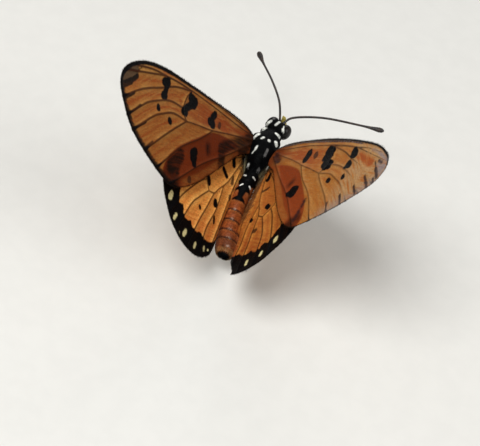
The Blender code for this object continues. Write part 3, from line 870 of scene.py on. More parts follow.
FOREWING_VEINS = (
    (-0.3, 0.1, 3.1, -0.2, 9.2, -1, 14.9, -1.6, 19.6, -1.75, 22.9, -1.2, 27.8, -0.2),
    (-0.3, 0.5, 2.1, 0.9, 5.8, 1.4, 9.2, 1.9, 12.4, 2.1, 14.9, 2.3),
    (14.9, 2.3, 15.8, 1.2, 15.4, -0.4, 14.4, -1.5),
    (14.4, -1.5, 17.7, -1.1, 20.5, -0.2, 24.4, 1.1, 28, 3),
    (15.8, 1, 18.8, 0.9, 22.4, 2, 24.1, 2.9, 26.9, 4.8),
    (14.9, 2.3, 17.7, 2.1, 19.8, 2.7, 21.8, 3.6, 25.6, 6.2),
    (14.9, 2.3, 18, 4.3, 22.9, 7.8),
    (9.1, 1.9, 11.8, 3.6, 15.6, 5.6, 20.2, 9.2),
    (0, 1.1, 5.6, 4, 9.4, 5.7, 12, 7.1, 16.9, 10.2),
    (0.8, -0.35, 6, -1.15, 12, -1.75, 17.6, -2.25),
    (19.6, -1.75, 22.6, -1.75, 25.8, -1.3),
)
HINDWING_VEINS = (
    (1.6, 3, 5.5, 3, 9.5, 3.4, 13.5, 5.3, 16.3, 7.7, 18.3, 10.3),
    (1.6, 3.2, 6, 4.7, 9.7, 6.7, 13.6, 8.3, 17.4, 11.3),
    (1.6, 3.6, 4.6, 7, 6.7, 8.5, 7.6, 9.2, 8.8, 9.2),
    (9.7, 6.7, 9.5, 7.9, 8.8, 9.2),
    (9.5, 7.9, 11.2, 8.7, 14.4, 11, 16.4, 13.2),
    (8.8, 9.2, 10.9, 10.5, 12.4, 11.7, 14.9, 15),
    (7.6, 9.2, 9.1, 11.4, 10.4, 13.2, 12.4, 16.4),
    (5.6, 7.8, 6.9, 11.1, 8.7, 13.8, 9.6, 16.8),
    (1.5, 4.2, 3.6, 8, 5.2, 11.4, 7.5, 16.2),
)
HINDWING_BORDER = np.array((
    18.4, 6.8, 16.9, 7.3, 15.5, 8.5, 15.1, 9.6, 14.8, 10.3, 15, 11.5, 14.8, 12, 13.9, 12,
    13.65, 12.5, 13.75, 13, 13.3, 13.45, 12.6, 13.6, 11.9, 13.5, 11.65, 14, 11.2, 14.4, 10.5,
    14.55, 9.6, 14.4, 9.1, 14.9, 8.4, 15.1, 7.7, 15.2, 7, 15.1, 6.3, 14.75, 5.4, 14, 3.5, 13.5,
    4, 19, 14, 21, 22, 15, 22, 6.0
)).reshape(-1, 2)


@dataclass(frozen=True)
class Marks:
    """The spots of one wing as patches, each placed as that wing shows it."""

    black: tuple
    brown: tuple = ()
    cream: tuple = ()


FOREWING_MARKS = {
    Side.LEFT: Marks(
        black=(
            (8.8, -0.2, 9.2, 0.2, 0.51), (9.15, 0.85, 9.7, 0.85, 0.57), (8.95, 1.1, 9.2, 1.2, 0.49),
            (13.3, -0.5, 14.4, -0.8, 0.59), (13.4, -0.1, 14.3, 0.1, 0.51),
            (14.3, 0.2, 15.2, 0.8, 0.51), (15.15, 1.2, 15.6, 1.2, 0.59),
            (19.4, -1.2, 20.1, -1, 0.57), (19.7, -0.5, 19.75, 0.1, 0.51),
            (19.75, 0.5, 20.05, 0.6, 0.54), (20.8, 2.15, 20.7, 2.35, 0.36),
            (18.25, 3.05, 18.1, 3.2, 0.4), (12.3, 5.3, 12.8, 5.6, 0.59), (12.4, 6, 12.6, 6.1, 0.64),
            (12.3, 6.7, 12.35, 6.8, 0.43),
        ),
        brown=((7.5, 0.65, 7.6, 0.95, 0.33), (13, 8.75, 13.05, 8.9, 0.41)),
    ),
    Side.RIGHT: Marks(
        black=(
            (8.8, 0.15, 9.15, 0.45, 0.59), (8.85, 0.9, 9.1, 1.1, 0.59),
            (13.6, -0.3, 14.7, -0.15, 0.69), (13.8, 0.6, 15, 0.55, 0.67),
            (14.6, 1.5, 16.1, 1.65, 0.69), (15.2, 1.9, 15.5, 2, 0.57),
            (19.9, -0.45, 20.5, -0.1, 0.57), (20.3, 0.05, 20.7, 0.2, 0.51),
            (20.4, 1.25, 20.85, 1.5, 0.51), (20.4, 1.65, 20.5, 1.75, 0.45),
            (10.9, 5.4, 11.6, 5.4, 0.61), (10.8, 5.95, 11.7, 6, 0.61), (18, 3.68, 18.4, 3.8, 0.35),
            (20.95, 3, 21.25, 3.2, 0.33),
        ),
        brown=((10.7, 0.25, 11.1, 0.55, 0.41),),
    ),
}
HINDWING_MARKS = {
    Side.LEFT: Marks(
        black=(
            (10.3, 11.4, 10.2, 11.6, 0.24), (7, 10.1, 7, 10.45, 0.4), (7, 12, 6.9, 12.6, 0.24),
            (9.05, 7.7, 8.85, 8.15, 0.48), (5.8, 5.7, 4.95, 6.5, 0.32), (3.7, 4.1, 3.5, 4.7, 0.4),
            (9.6, 3.9, 9.5, 4.4, 0.55),
        ),
        brown=((3.9, 8.8, 3.95, 9, 0.3), (3.5, 6.3, 3.6, 7, 0.3)),
        cream=(
            (16.65, 11.45, 16.8, 11.75, 0.45), (15.15, 13.55, 15.5, 14, 0.27),
            (12.85, 15, 13.15, 15.4, 0.3), (10.55, 16, 10.7, 16.4, 0.23), (8.6, 16, 8.6, 16.3, 0.2),
            (7.8, 16.15, 7.8, 16.25, 0.1), (14.15, 15.4, 14.15, 15.45, 0.08),
        ),
    ),
    Side.RIGHT: Marks(
        black=(
            (7.3, 8.1, 8, 8.3, 0.38), (5.65, 10.25, 6, 10.45, 0.32), (2.6, 3.85, 2.8, 4.45, 0.4),
            (9.4, 4.4, 9.3, 4.7, 0.5),
        ),
        brown=((8.7, 11.6, 8.5, 11.8, 0.36), (4.5, 5.6, 3.7, 6.2, 0.24)),
        cream=(
            (15.4, 12.3, 15.6, 12.5, 0.4), (14.05, 14.3, 14.15, 14.6, 0.27),
            (11.9, 15.75, 12.1, 16.1, 0.26),
        ),
    ),
}


@dataclass
class Hindwing(Wing):
    """The rear wing. Its front lies under the forewing, its inner edge hangs by the abdomen."""

    outline: Array = field(default_factory=HINDWING_OUTLINE.copy)
    veins: tuple = HINDWING_VEINS
    drop: float = 0.57
    fold_ease: float = 1.0
    own_hinge: tuple = (1.7, 3.1)
    right_turn_deg: float = 4.4
    front_gap: float = 0.05
    corner: tuple = (8.9, 17.6)
    corner_reach: float = 3.2
    corner_pull: float = 0.9
    corner_way: tuple = (0.5, -0.85)

    def drawn(self, flat: Array) -> Array:
        """Turn the wing about its own hinge."""
        hinge = np.array(self.own_hinge)
        turn = math.radians(0.0 if self.side is Side.LEFT else self.right_turn_deg)
        return hinge + np.column_stack(turned(flat - hinge, turn))

    def lift(self, flat: Array) -> Array:
        """Keep the front of the wing below the forewing."""
        edge_start, edge_slant, square = 1.28, 0.533, 0.882
        past_forewing = (flat[:, 1] - (edge_start + edge_slant * flat[:, 0])) * square
        return -self.drop + (self.drop - self.front_gap) * ease((past_forewing - 0.8) / 3.2)

    def place(self, flat: Array) -> Array:
        """Bend the inner edge down beside the abdomen."""
        out, back = turned(flat, DRAWN_SWEEP)
        beyond = np.clip(self.fold_line(back) - out, 0, None)
        fold = flat + beyond[:, None] * (math.cos(DRAWN_SWEEP), -math.sin(DRAWN_SWEEP))
        if self.side is Side.RIGHT:
            near = np.linalg.norm(flat - self.corner, axis=1)
            pull = self.corner_pull * ease(1 - near / self.corner_reach)
            fold = fold + pull[:, None] * self.corner_way
            beyond = beyond * (1 + 0.5 * ease(back - 3.5) * ease((13 - back) / 2))
        full_turn = np.radians(self.fold_angle(back))
        place = super().place(fold)
        steps = 12
        for step in range(steps):
            turn = full_turn * ease(beyond * (step + 0.5) / steps / self.fold_ease)
            inwards = (-self.outwards * np.cos(turn)[:, None]
                       - self.inner_normal * np.sin(turn)[:, None])
            place = place + inwards * (beyond / steps)[:, None]
        return place

    def fold_angle(self, back: Array) -> Array:
        """Return how far the inner edge turns down, in degrees."""
        if self.side is Side.LEFT:
            return 50 * (1 - 0.6 * ease((back - 13) / 4))
        return np.interp(back, (4, 12.2, 13.6, 16.6, 17.8), (8, 11, 46, 46, 46))

    def fold_line(self, back: Array) -> Array:
        """Return where the wing turns down beside the abdomen, measured outwards."""
        if self.side is Side.LEFT:
            return np.interp(back, (7, 9, 16), (-1.2, -0.95, -0.95))
        return np.interp(back, (4, 7.1, 10.3, 12.1, 14, 16.1, 17.3, 18.4, 19.3, 20.2),
                         (-1.0, -0.6, -0.35, -0.15, 0.0, 0.15, 0.15, 0.45, 1.0, 1.7))

    def grow_hair(self, wing: Piece, coat: "Coat") -> None:
        """Grow long soft hair on the wing's base, beside the abdomen."""
        left = self.side is Side.LEFT
        out, back = turned(self.flat_points, DRAWN_SWEEP)
        wide = (1.3 if left else 0.3) * ease((6.4 - back) / 2)
        thick = (ease((0.4 + wide - (out - self.fold_line(back))) / 0.6)
                 * ease(((9 if left else 12) - back) / 3))
        pale = np.random.default_rng(11).random(len(out))[:, None] ** 2.4
        rear = ease((back - 3.6) / 2.6)[:, None]
        dark = np.array(srgb(36, 33, 26)) * (1 - rear) + np.array(srgb(104, 62, 32)) * rear
        light = np.array(srgb(136, 124, 88)) * (1 - rear) + np.array(srgb(138, 90, 48)) * rear
        none = np.zeros(len(out))
        way = STANCE.direction(-0.75 * self.outwards + (0.0, -0.8, 0.0))
        coat.grow(wing.data, f"{wing.name}_hair", "hindwing",
                  Tuft(per_square_mm=34.0, width_mm=0.045, bend=0.25, mess=0.3, seed=21),
                  thick=np.concatenate((thick, none)),
                  length=np.concatenate((0.5 + (0.7 - 0.5 * rear[:, 0]) * thick, none)),
                  stand=np.full(2 * len(out), 0.35), way=np.tile(way, (2 * len(out), 1)),
                  colour=np.tile(dark * (1 - pale) + light * pale, (2, 1)))

    def black_depth(self, drawn: Array) -> Array:
        """Return how deep points lie in the black border or a black spot."""
        border = self.drawn(HINDWING_BORDER)
        spots = patch_depth(drawn, HINDWING_MARKS[self.side].black)
        return np.maximum(depth_inside(drawn, border), spots)

    def fields(self, flat: Array) -> dict[str, Array]:
        """Return the measures that the wing's finish is painted from."""
        drawn = self.drawn(flat)
        marks = HINDWING_MARKS[self.side]
        reach = np.linalg.norm(flat - (1.0, 3.0), axis=1)
        none = np.zeros(len(flat))
        fields = super().fields(flat) | {
            "black": self.black_depth(drawn),
            "brown": patch_depth(drawn, marks.brown),
            "cream": patch_depth(drawn, marks.cream),
            "rich": ease((flat[:, 1] - 10.5) / 4) * 0.8,
            "outer": ease((reach - 8) / 5) * 0.6,
            "rooted": 0.55 * ease(1 - reach / 3),
            "inner": ease(1 - np.abs(reach - 6.5) / 4.5),
            "overlap": none + UNMARKED}
        for name in ("through", "smoke", "sheen", "dusk", "sheen_bloom", "light", "strip"):
            fields[name] = none
        # On the right wing, a pale line along the fold beside the abdomen: painted highlight where
        # the wing bends down.
        if self.side is Side.RIGHT:
            out, back = turned(flat, DRAWN_SWEEP)
            line = np.abs(out - self.fold_line(back) - 0.1) / 0.1
            fields["light"] = (0.8 * ease(1.6 - line) * ease((back - 6) / 2)
                               * ease((15 - back) / 2))
        return fields


@dataclass
class Forewing(Wing):
    """The front wing. Its rear half lies over the hindwing."""

    outline: Array = field(default_factory=FOREWING_OUTLINE.copy)
    veins: tuple = FOREWING_VEINS
    raise_mm: float = 0.47
    flow: float = 1.0
    tip_reach: float = 0.9
    tip_shift: float = 0.85
    tip: tuple = (28.4, 0.9)
    cell: tuple = ((-1.0, -0.2), (9.0, -1.0), (14.6, -1.6), (15.6, 0.6), (14.9, 2.3), (9.0, 1.9),
                   (-1.0, 0.6))
    streaks = {
        Side.LEFT: (
            (25.6, -0.06, 26.62, 0.79, 0.3), (26.62, 0.79, 28, 1.6, 0.42),
            (28, -0.3, 25.8, -0.6, 0.1), (25.8, -0.6, 25, -1.3, 0.06), (25.9, 2, 27.6, 3.1, 0.2),
            (24.4, 3, 26.5, 4.6, 0.14), (23, 4.6, 25.3, 6.1, 0.1), (21.3, 6.4, 23.2, 7.8, 0.1),
        ),
        Side.RIGHT: (
            (26.35, 0.79, 27.31, 1.61, 0.08), (27.31, 1.61, 28.85, 2.83, 0.22),
            (27.05, 0.66, 28, 0.9, 0.16), (26.04, 2.81, 28.14, 4.23, 0.2),
            (25.06, 4.19, 26.5, 5.2, 0.16), (23.17, 5.5, 24.8, 6.8, 0.14),
            (28.17, 3, 28.9, 3.6, 0.14), (21.6, 6.6, 22.6, 7.9, 0.1),
        ),
    }
    faint = {
        Side.LEFT: ((21, -1.6), (23.7, -1.31), (25.4, -1)),
        Side.RIGHT: ((20.4, -1.2), (22.9, -0.8), (25.5, -0.3)),
    }
    # Grey patches near the tip: smoky scales on the left wing, part of the painted sheen on the
    # right wing.
    grey = {
        Side.LEFT: ((27.9, 0.7, 26.2, -0.3, 0.7), (27.6, -0.3, 26, -0.9, 0.5)),
        Side.RIGHT: (
            (24, -0.8, 26, -0.45, 0.1), (26, -0.45, 28.8, 0.6, 0.18), (27.5, 1, 28.9, 1.5, 0.45),
            (28.1, 1.7, 29.1, 2.4, 0.4),
        ),
    }
    # Painted shade where the hindwing lies under the forewing: at the root and where the hindwing's
    # dark marks show through.
    overlap_shade = {
        Side.LEFT: (
            (0.4, 0.8, 2.2, 2.2, 1.2), (1, 1, 6.4, 3.2, 0.9), (6.6, 3.4, 6.5, 5.4, 0.9),
            (9.7, 3.9, 9.6, 4.9, 0.28), (15.4, 6.6, 17, 8.2, 1.1), (15, 6.1, 15.7, 8.6, 0.5),
        ),
        Side.RIGHT: ((0.6, 0.9, 2, 1.6, 0.7), (15.8, 6.6, 16.4, 9.4, 0.5)),
    }

    def drawn(self, flat: Array) -> Array:
        """Draw the right wing's front edge and tip a little further out and back."""
        if self.side is Side.LEFT:
            return flat
        along, across = flat.T
        front = 1 - ease((across - 2) / 5)
        start = 6 + 4 * ease((-1.2 - across) / 1.2)
        reach = self.tip_reach * front * ease((along - 17) / 12)
        shift = self.tip_shift * front * ease((along - start) / 13)
        return flat + np.column_stack((reach, shift))

    def lift(self, flat: Array) -> Array:
        """Raise the rear of the wing over the hindwing."""
        return self.raise_mm * ease((flat[:, 1] + 0.5) / 3)

    def dark_edge(self, flat: Array, vein: Array) -> Array:
        """Return how deep points lie in the dark edge, which runs in along the veins' ends."""
        along, across = flat.T
        edge = depth_inside(flat, self.margin)
        tip = np.linalg.norm(flat - self.tip, axis=1)
        left = self.side is Side.LEFT
        costal = 0.26 + (0.2 if left else 0.02) * ease((along - 6) / 14)
        outer = (0.3 if left else 0.06) * ease((along - 14) / 3)
        front = ease((1.5 - across) / 2)
        width = costal * front + outer * (1 - front)
        width = width + (0.16 if left else -0.08) * ease(1 - tip / 3.8)
        tooth = (0.36 if left else 0.1) * (1 - edge / 1.3) * ease((along - 14) / 3) - vein
        return np.maximum(width - edge, np.where(across > 1.0, tooth, OUTSIDE))

    def dusk(self, flat: Array, fields: dict[str, Array]) -> Array:
        """Return how far each point is darkened along the veins' ends and at the tip, and by
        painted shade where the hindwing lies under the wing, at the root and where the hindwing's
        dark marks show through.
        """
        along, across = flat.T
        edge = depth_inside(flat, self.margin)
        drawn = self.drawn(flat)
        left = self.side is Side.LEFT
        outer = ease((along - 14) / 3) * ease(across - 0.5)
        reach = 0.16 + (0.3 if left else 0.12) * ease(1 - edge / 3.2)
        ray = ease(1 - fields["vein"] / reach) * ease(1 - edge / 4.2) * outer
        margin = (0.9 if left else 0.3) * outer * ease(1 - (edge - 0.4) / 0.8)
        soft = 0.34 if left else 0.5
        streak = patch_depth(drawn, self.streaks[self.side]) + 0.65 * soft
        streak = ease(streak / soft)
        rib = 0.7 * ease(1 - fields["vein"] / 0.2) * ease((0.4 - across) / 0.8)
        overlap_shade = patch_depth(drawn, self.overlap_shade[self.side])
        # Painted shade where the hindwing lies under this wing and where its dark marks show
        # through.
        root = 0.8 * ease(overlap_shade + 0.5)
        if not left:
            ray = 0.5 * ray * ease((23 - along) / 3)
            seam = ease(1.3 - np.abs(edge - 0.34) / 0.12) * ease((22 - along) / 2)
            rib = np.maximum(rib, seam * ease((0 - across) / 0.6))
        return np.max((ray, margin, streak, rib, root), axis=0)

    def fields(self, flat: Array) -> dict[str, Array]:
        """Return the measures that the wing's finish is painted from."""
        drawn = self.drawn(flat)
        along, across = flat.T
        marks = FOREWING_MARKS[self.side]
        hindwing = Hindwing(self.side)
        under = depth_inside(drawn, hindwing.drawn(hindwing.margin))
        edge = depth_inside(flat, self.margin)
        in_cell = depth_inside(flat, np.array(self.cell))
        faint = distance_to_path(drawn, np.array(self.faint[self.side]))
        grey = ease((patch_depth(drawn, self.grey[self.side]) + 0.25) / 0.4)
        none = np.zeros(len(flat))
        left = self.side is Side.LEFT
        fields = super().fields(flat)
        fields |= {
            "black": np.maximum(patch_depth(drawn, marks.black),
                                self.dark_edge(flat, fields["vein"])),
            "brown": patch_depth(drawn, marks.brown),
            "cream": none + UNMARKED,
            "rich": ease((in_cell + 0.6) / 1.2) * ease((17 - along) / 8),
            "light": ease(1.3 - faint / 0.6),
            "outer": ease((along - 13) / 4) * (0.9 if left else 0.4),
            "rooted": 0.9 * ease(1 - along / 5.5),
            "inner": none,
            # Painted shade where the hindwing lies under this wing, lighter in a strip along the
            # rear edge, and painted shadow of the hindwing's dark marks showing through.
            "overlap": np.where(across > 1.0, under, UNMARKED),
            "strip": ease(1 - (edge - 0.7) / 0.6) * ease((15.5 - along) / 2) * ease(across - 1),
            "through": ease(hindwing.black_depth(drawn) + 0.5) * ease(under / 0.6),
            "dusk": self.dusk(flat, fields),
            "smoke": grey if left else none,
            "sheen": none,
            "sheen_bloom": none}
        if not left:
            self.tip_and_sheen(fields, drawn, grey, flat, edge)
        return fields

    def tip_and_sheen(self, fields: dict[str, Array], drawn: Array, grey: Array,
             flat: Array, edge: Array) -> None:
        """Pale the tip of the wing and lay a lilac tint on its edge and in dots along its front:
        painted sheen.
        """
        along, across = flat.T
        orange = distance_to_path(drawn, np.array(((22.0, 0.0), (23.7, 0.3), (25.3, 0.9))))
        orange = ease((0.95 - orange) / 0.6)
        # Painted sheen: the tip paled, except for an orange streak.
        sheen = ease((drawn[:, 0] - 19) / 4) * (1 - orange)
        fields["sheen"] = np.maximum(sheen, 0.8 * fields["light"])
        fields["rich"] = np.maximum(fields["rich"], 1.3 * orange)
        fields["vein"] = fields["vein"] + 0.11 * ease((drawn[:, 0] - 21) / 3)
        dots = 0.7 * (ease(1.3 - np.abs(edge - 0.34) / 0.1)
                      * ease((np.sin(9.5 * along) + 0.4) / 0.8))
        dots = dots * ease((22 - along) / 2) * ease((0 - across) / 0.6)
        # Painted sheen on the edge near the tip, in the grey patches and in dots along the front.
        rim = ease(1 - edge / 2.2) * ease((across - 0.2) / 1.2) * ease((along - 19) / 5)
        sheen_bloom = np.maximum(0.8 * rim, grey) * (1 - 0.85 * fields["dusk"])
        fields["sheen_bloom"] = np.maximum(sheen_bloom, dots)


class Growth(Nodes):
    """A Geometry Nodes tree that takes one mesh and gives another."""

    def __init__(self, name: str) -> None:
        """Start a tree that takes and gives one mesh."""
        self.tree = bpy.data.node_groups.new(name, "GeometryNodeTree")
        for way in ("INPUT", "OUTPUT"):
            self.tree.interface.new_socket("Geometry", in_out=way, socket_type="NodeSocketGeometry")
        self.start = self.tree.nodes.new("NodeGroupInput")
        self.end = self.tree.nodes.new("NodeGroupOutput")

    def size(self, name: str, value: float | int) -> Socket:
        """Add a named number that the tree takes."""
        kind = "NodeSocketInt" if isinstance(value, int) else "NodeSocketFloat"
        socket = self.tree.interface.new_socket(name, in_out="INPUT", socket_type=kind)
        socket.default_value = value
        return self.start.outputs[name]

    def vector(self, operation: str, first: object, second: object) -> Socket:
        """Combine two vectors."""
        node = self.node("ShaderNodeVectorMath", {0: first, 1: second}, operation=operation)
        return node.outputs[0]

    def joined(self, x: object, y: object, z: object) -> Socket:
        """Join three numbers to a vector."""
        return self.node("ShaderNodeCombineXYZ", {0: x, 1: y, 2: z}).outputs[0]

    def field(self, name: str, kind: str = "FLOAT") -> Socket:
        """Read an attribute."""
        node = self.node("GeometryNodeInputNamedAttribute", {"Name": name}, data_type=kind)
        return node.outputs["Attribute"]

    def chance(self, low: float, high: float, seed: object) -> Socket:
        """Return a random number for each element."""
        node = self.node("FunctionNodeRandomValue", {2: low, 3: high, "Seed": seed})
        return node.outputs[1]

    def store(self, mesh: Socket, name: str, value: Socket, kind: str, domain: str) -> Socket:
        """Keep a value as an attribute."""
        inputs = {"Geometry": mesh, "Name": name, "Value": value}
        node = self.node("GeometryNodeStoreNamedAttribute", inputs, data_type=kind, domain=domain)
        return node.outputs[0]

    def close(self, mesh: Socket, material: Material) -> None:
        """Set the finish and end the tree."""
        node = self.node("GeometryNodeSetMaterial", {"Geometry": mesh, "Material": material})
        self.tree.links.new(node.outputs[0], self.end.inputs[0])

    def grow(self, mesh: Mesh, name: str, sizes: dict[str, float | int]) -> Mesh:
        """Run the tree on a mesh and return what it makes as a plain mesh.

        Args:
            mesh: What the tree starts from.
            name: The new mesh's name.
            sizes: The tree's named numbers.

        Returns:
            The plain mesh.
        """
        holder = add_object("holder", mesh)
        modifier = holder.modifiers.new("growth", "NODES")
        modifier.node_group = self.tree
        for item in self.tree.interface.items_tree:
            if item.in_out == "INPUT" and item.name in sizes:
                modifier[item.identifier] = sizes[item.name]
        graph = bpy.context.evaluated_depsgraph_get()
        grown = bpy.data.meshes.new_from_object(holder.evaluated_get(graph),
                                                preserve_all_data_layers=True, depsgraph=graph)
        holder.modifiers.remove(modifier)
        bpy.data.objects.remove(holder)
        grown.name = name
        return grown


@dataclass(frozen=True)
class Tuft:
    """The shape and number of the hairs or scales of one coat."""

    per_square_mm: float
    width_mm: float
    tip: float = 0.0
    depth: float = 0.12
    bend: float = 0.2
    mess: float = 0.25
    seed: int = 1


class Coat:
    """Hair and scales grown on a skin, each lying along the skin's own lie."""

    patch = 0.003

    def __init__(self, material: Material) -> None:
        """Build the tree that grows a coat of this finish."""
        growth = Growth("coat")
        self.growth = growth
        self.material = material
        density, width, tip, depth, bend, mess, seed = (
            growth.size(name, start) for name, start in (
                ("Density", 1.0), ("Width", 1.0), ("Tip", 0.0), ("Depth", 0.12), ("Bend", 0.2),
                ("Mess", 0.2), ("Seed", 1)))
        amount = growth.times(density, growth.field("coat_thick"))
        points = growth.node("GeometryNodeDistributePointsOnFaces",
                             {"Mesh": growth.start.outputs[0], "Density": amount, "Seed": seed})
        blade = self.blade(growth, tip, depth, bend)
        normal = points.outputs["Normal"]
        jitter = growth.node("FunctionNodeRandomValue",
                             {0: (-1.0, -1.0, -1.0), 1: (1.0, 1.0, 1.0), "Seed": seed},
                             data_type="FLOAT_VECTOR")
        way = growth.vector("ADD", growth.field("coat_way", "FLOAT_VECTOR"),
                            growth.scaled(normal, growth.field("coat_stand")))
        way = growth.vector("ADD", way, growth.scaled(jitter.outputs[0], mess))
        lie = growth.node("FunctionNodeAlignRotationToVector", {"Vector": way}, axis="Z")
        turn = growth.node("FunctionNodeAlignRotationToVector",
                           {"Rotation": lie.outputs[0], "Vector": normal}, axis="Y", pivot_axis="Z")
        length = growth.times(growth.field("coat_length"), MM, growth.chance(0.7, 1.2, seed))
        breadth = growth.times(width, growth.chance(0.75, 1.2, seed))
        size = growth.joined(breadth, length, length)
        placed = growth.node("GeometryNodeInstanceOnPoints",
                             {"Points": points.outputs[0], "Instance": blade,
                              "Rotation": turn.outputs[0], "Scale": size})
        real = growth.node("GeometryNodeRealizeInstances", {0: placed.outputs[0]})
        spot = growth.field("blade_place", "FLOAT_VECTOR")
        spot = growth.vector("SUBTRACT", spot, (0.5, 0.5, 0.0))
        spot = growth.vector("ADD", growth.field("skin_place", "FLOAT_VECTOR"),
                             growth.scaled(spot, self.patch))
        mapped = growth.store(real.outputs[0], "OFBake", spot, "FLOAT2", "CORNER")
        growth.close(mapped, material)

    def blade(self, growth: Growth, tip: Socket, depth: Socket, bend: Socket) -> Socket:
        """Shape one hair: three-sided, one long, pointed or blunt, its end bent to the skin."""
        cone = growth.node("GeometryNodeMeshCone",
                           {"Vertices": 3, "Side Segments": 2, "Radius Top": tip,
                            "Radius Bottom": 0.5, "Depth": 1.0})
        place = growth.node("GeometryNodeInputPosition", {}).outputs[0]
        parts = growth.node("ShaderNodeSeparateXYZ", {0: place})
        x, y, z = parts.outputs
        sunk = growth.times(growth.times(z, z), bend)
        y = growth.math("SUBTRACT", growth.times(y, depth), sunk)
        shaped = growth.node("GeometryNodeSetPosition",
                             {"Geometry": cone.outputs[0], "Position": growth.joined(x, y, z)})
        spot = growth.joined(growth.math("ADD", x, 0.5), z, 0.0)
        return growth.store(shaped.outputs[0], "blade_place", spot, "FLOAT_VECTOR", "POINT")

    def grow(self, skin: Mesh, name: str, slot: str, tuft: Tuft, **measures: Array) -> None:
        """Grow the coat of one skin.

        Args:
            skin: The skin's mesh.
            name: The coat's name.
            slot: Not used.
            tuft: The shape and number of its hairs.
            measures: The coat's thick, length, stand, way and colour, where the skin
                doesn't have them yet.
        """
        skin = skin.copy()
        for key, values in measures.items():
            add_field(skin, f"coat_{key}", values)
        if "skin_place" not in skin.attributes:
            keep_skin_place(skin)
        coat = self.growth.grow(skin, name, {
            "Density": tuft.per_square_mm / MM ** 2, "Width": tuft.width_mm * MM, "Tip": tuft.tip,
            "Depth": tuft.depth, "Bend": tuft.bend, "Mess": tuft.mess, "Seed": tuft.seed})
        bpy.data.meshes.remove(skin)
        for spare in ("blade_place", "skin_place", "coat_way", "coat_length", "coat_stand",
                      "coat_thick"):
            if spare in coat.attributes:
                coat.attributes.remove(coat.attributes[spare])
        add_piece(name, coat, self.material)


class Tubes:
    """Round limbs grown along paths."""

    def __init__(self, material: Material) -> None:
        """Build the tree that grows a limb of this finish."""
        growth = Growth("tube")
        self.growth = growth
        self.material = material
        sides = growth.size("Sides", 12)
        curve = growth.node("GeometryNodeMeshToCurve", {"Mesh": growth.start.outputs[0]})
        along = growth.node("GeometryNodeSplineParameter", {}).outputs["Factor"]
        way = growth.node("GeometryNodeInputTangent", {}).outputs[0]
        kept = growth.store(curve.outputs[0], "along", along, "FLOAT", "POINT")
        kept = growth.store(kept, "coat_way", way, "FLOAT_VECTOR", "POINT")
        ring = growth.node("GeometryNodeCurvePrimitiveCircle", {"Resolution": sides, "Radius": MM})
        around = growth.node("GeometryNodeSplineParameter", {}).outputs["Factor"]
        ring = growth.store(ring.outputs[0], "around", around, "FLOAT", "POINT")
        tube = growth.node("GeometryNodeCurveToMesh",
                           {"Curve": kept, "Profile Curve": ring, "Scale": growth.field("girth"),
                            "Fill Caps": True})
        smooth = growth.node("GeometryNodeSetShadeSmooth", {"Geometry": tube.outputs[0]})
        turn = growth.field("around")
        middle = growth.node("GeometryNodeFieldOnDomain", {0: turn}, domain="FACE").outputs[0]
        past = growth.math("GREATER_THAN", growth.math("SUBTRACT", middle, turn), 0.25)
        spot = growth.joined(growth.math("ADD", turn, past), growth.field("along"), 0.0)
        spot = growth.vector("ADD", growth.vector("MULTIPLY", spot, (0.94, 0.94, 0.0)),
                             (0.03, 0.03, 0.0))
        mapped = growth.store(smooth.outputs[0], "skin_place", spot, "FLOAT_VECTOR", "CORNER")
        growth.close(mapped, material)

    def grow(self, name: str, slot: str, paths: list[tuple[Array, Array]],
             sides: int = 12) -> Mesh:
        """Grow a limb of round parts along paths, in place of the solid of its name.

        Args:
            name: The limb's name.
            slot: Not used.
            paths: For each part its path in body millimetres and its girth at each point.
            sides: How many sides each part has round it.

        Returns:
            The limb's plain mesh.
        """
        edges = []
        first = 0
        for path, girth in paths:
            edges += [(first + step, first + step + 1) for step in range(len(path) - 1)]
            first += len(path)
        line = make_mesh(name, np.vstack([path for path, girth in paths]), [], edges)
        add_field(line, "girth", np.concatenate([girth for path, girth in paths]))
        mesh = self.growth.grow(line, name, {"Sides": sides})
        add_piece(name, mesh, self.material, (name,))
        return mesh


@dataclass(frozen=True)
class HeadFrame:
    """The head's own axes, turned a little to the animal's right."""

    centre: tuple = (0.58, 3.7, -1.33)
    yaw_deg: float = 18.0

    def place(self, side: float, ahead: float, up: float) -> Array:
        """Return the body measurement of a point of the head."""
        yaw = math.radians(self.yaw_deg)
        return np.array((self.centre[0] + side * math.cos(yaw) + ahead * math.sin(yaw),
                         self.centre[1] - side * math.sin(yaw) + ahead * math.cos(yaw),
                         self.centre[2] + up))


HEAD = HeadFrame()
BLACK = srgb(5, 5, 6)
WHITE = srgb(205, 206, 198)
OLIVE = srgb(74, 66, 44)
CREAM = srgb(188, 178, 140)
RUST = srgb(132, 66, 30)
PINK = srgb(138, 84, 50)
OCHRE = srgb(160, 104, 58)
JOINT = srgb(58, 30, 20)
BELLY = srgb(188, 160, 112)


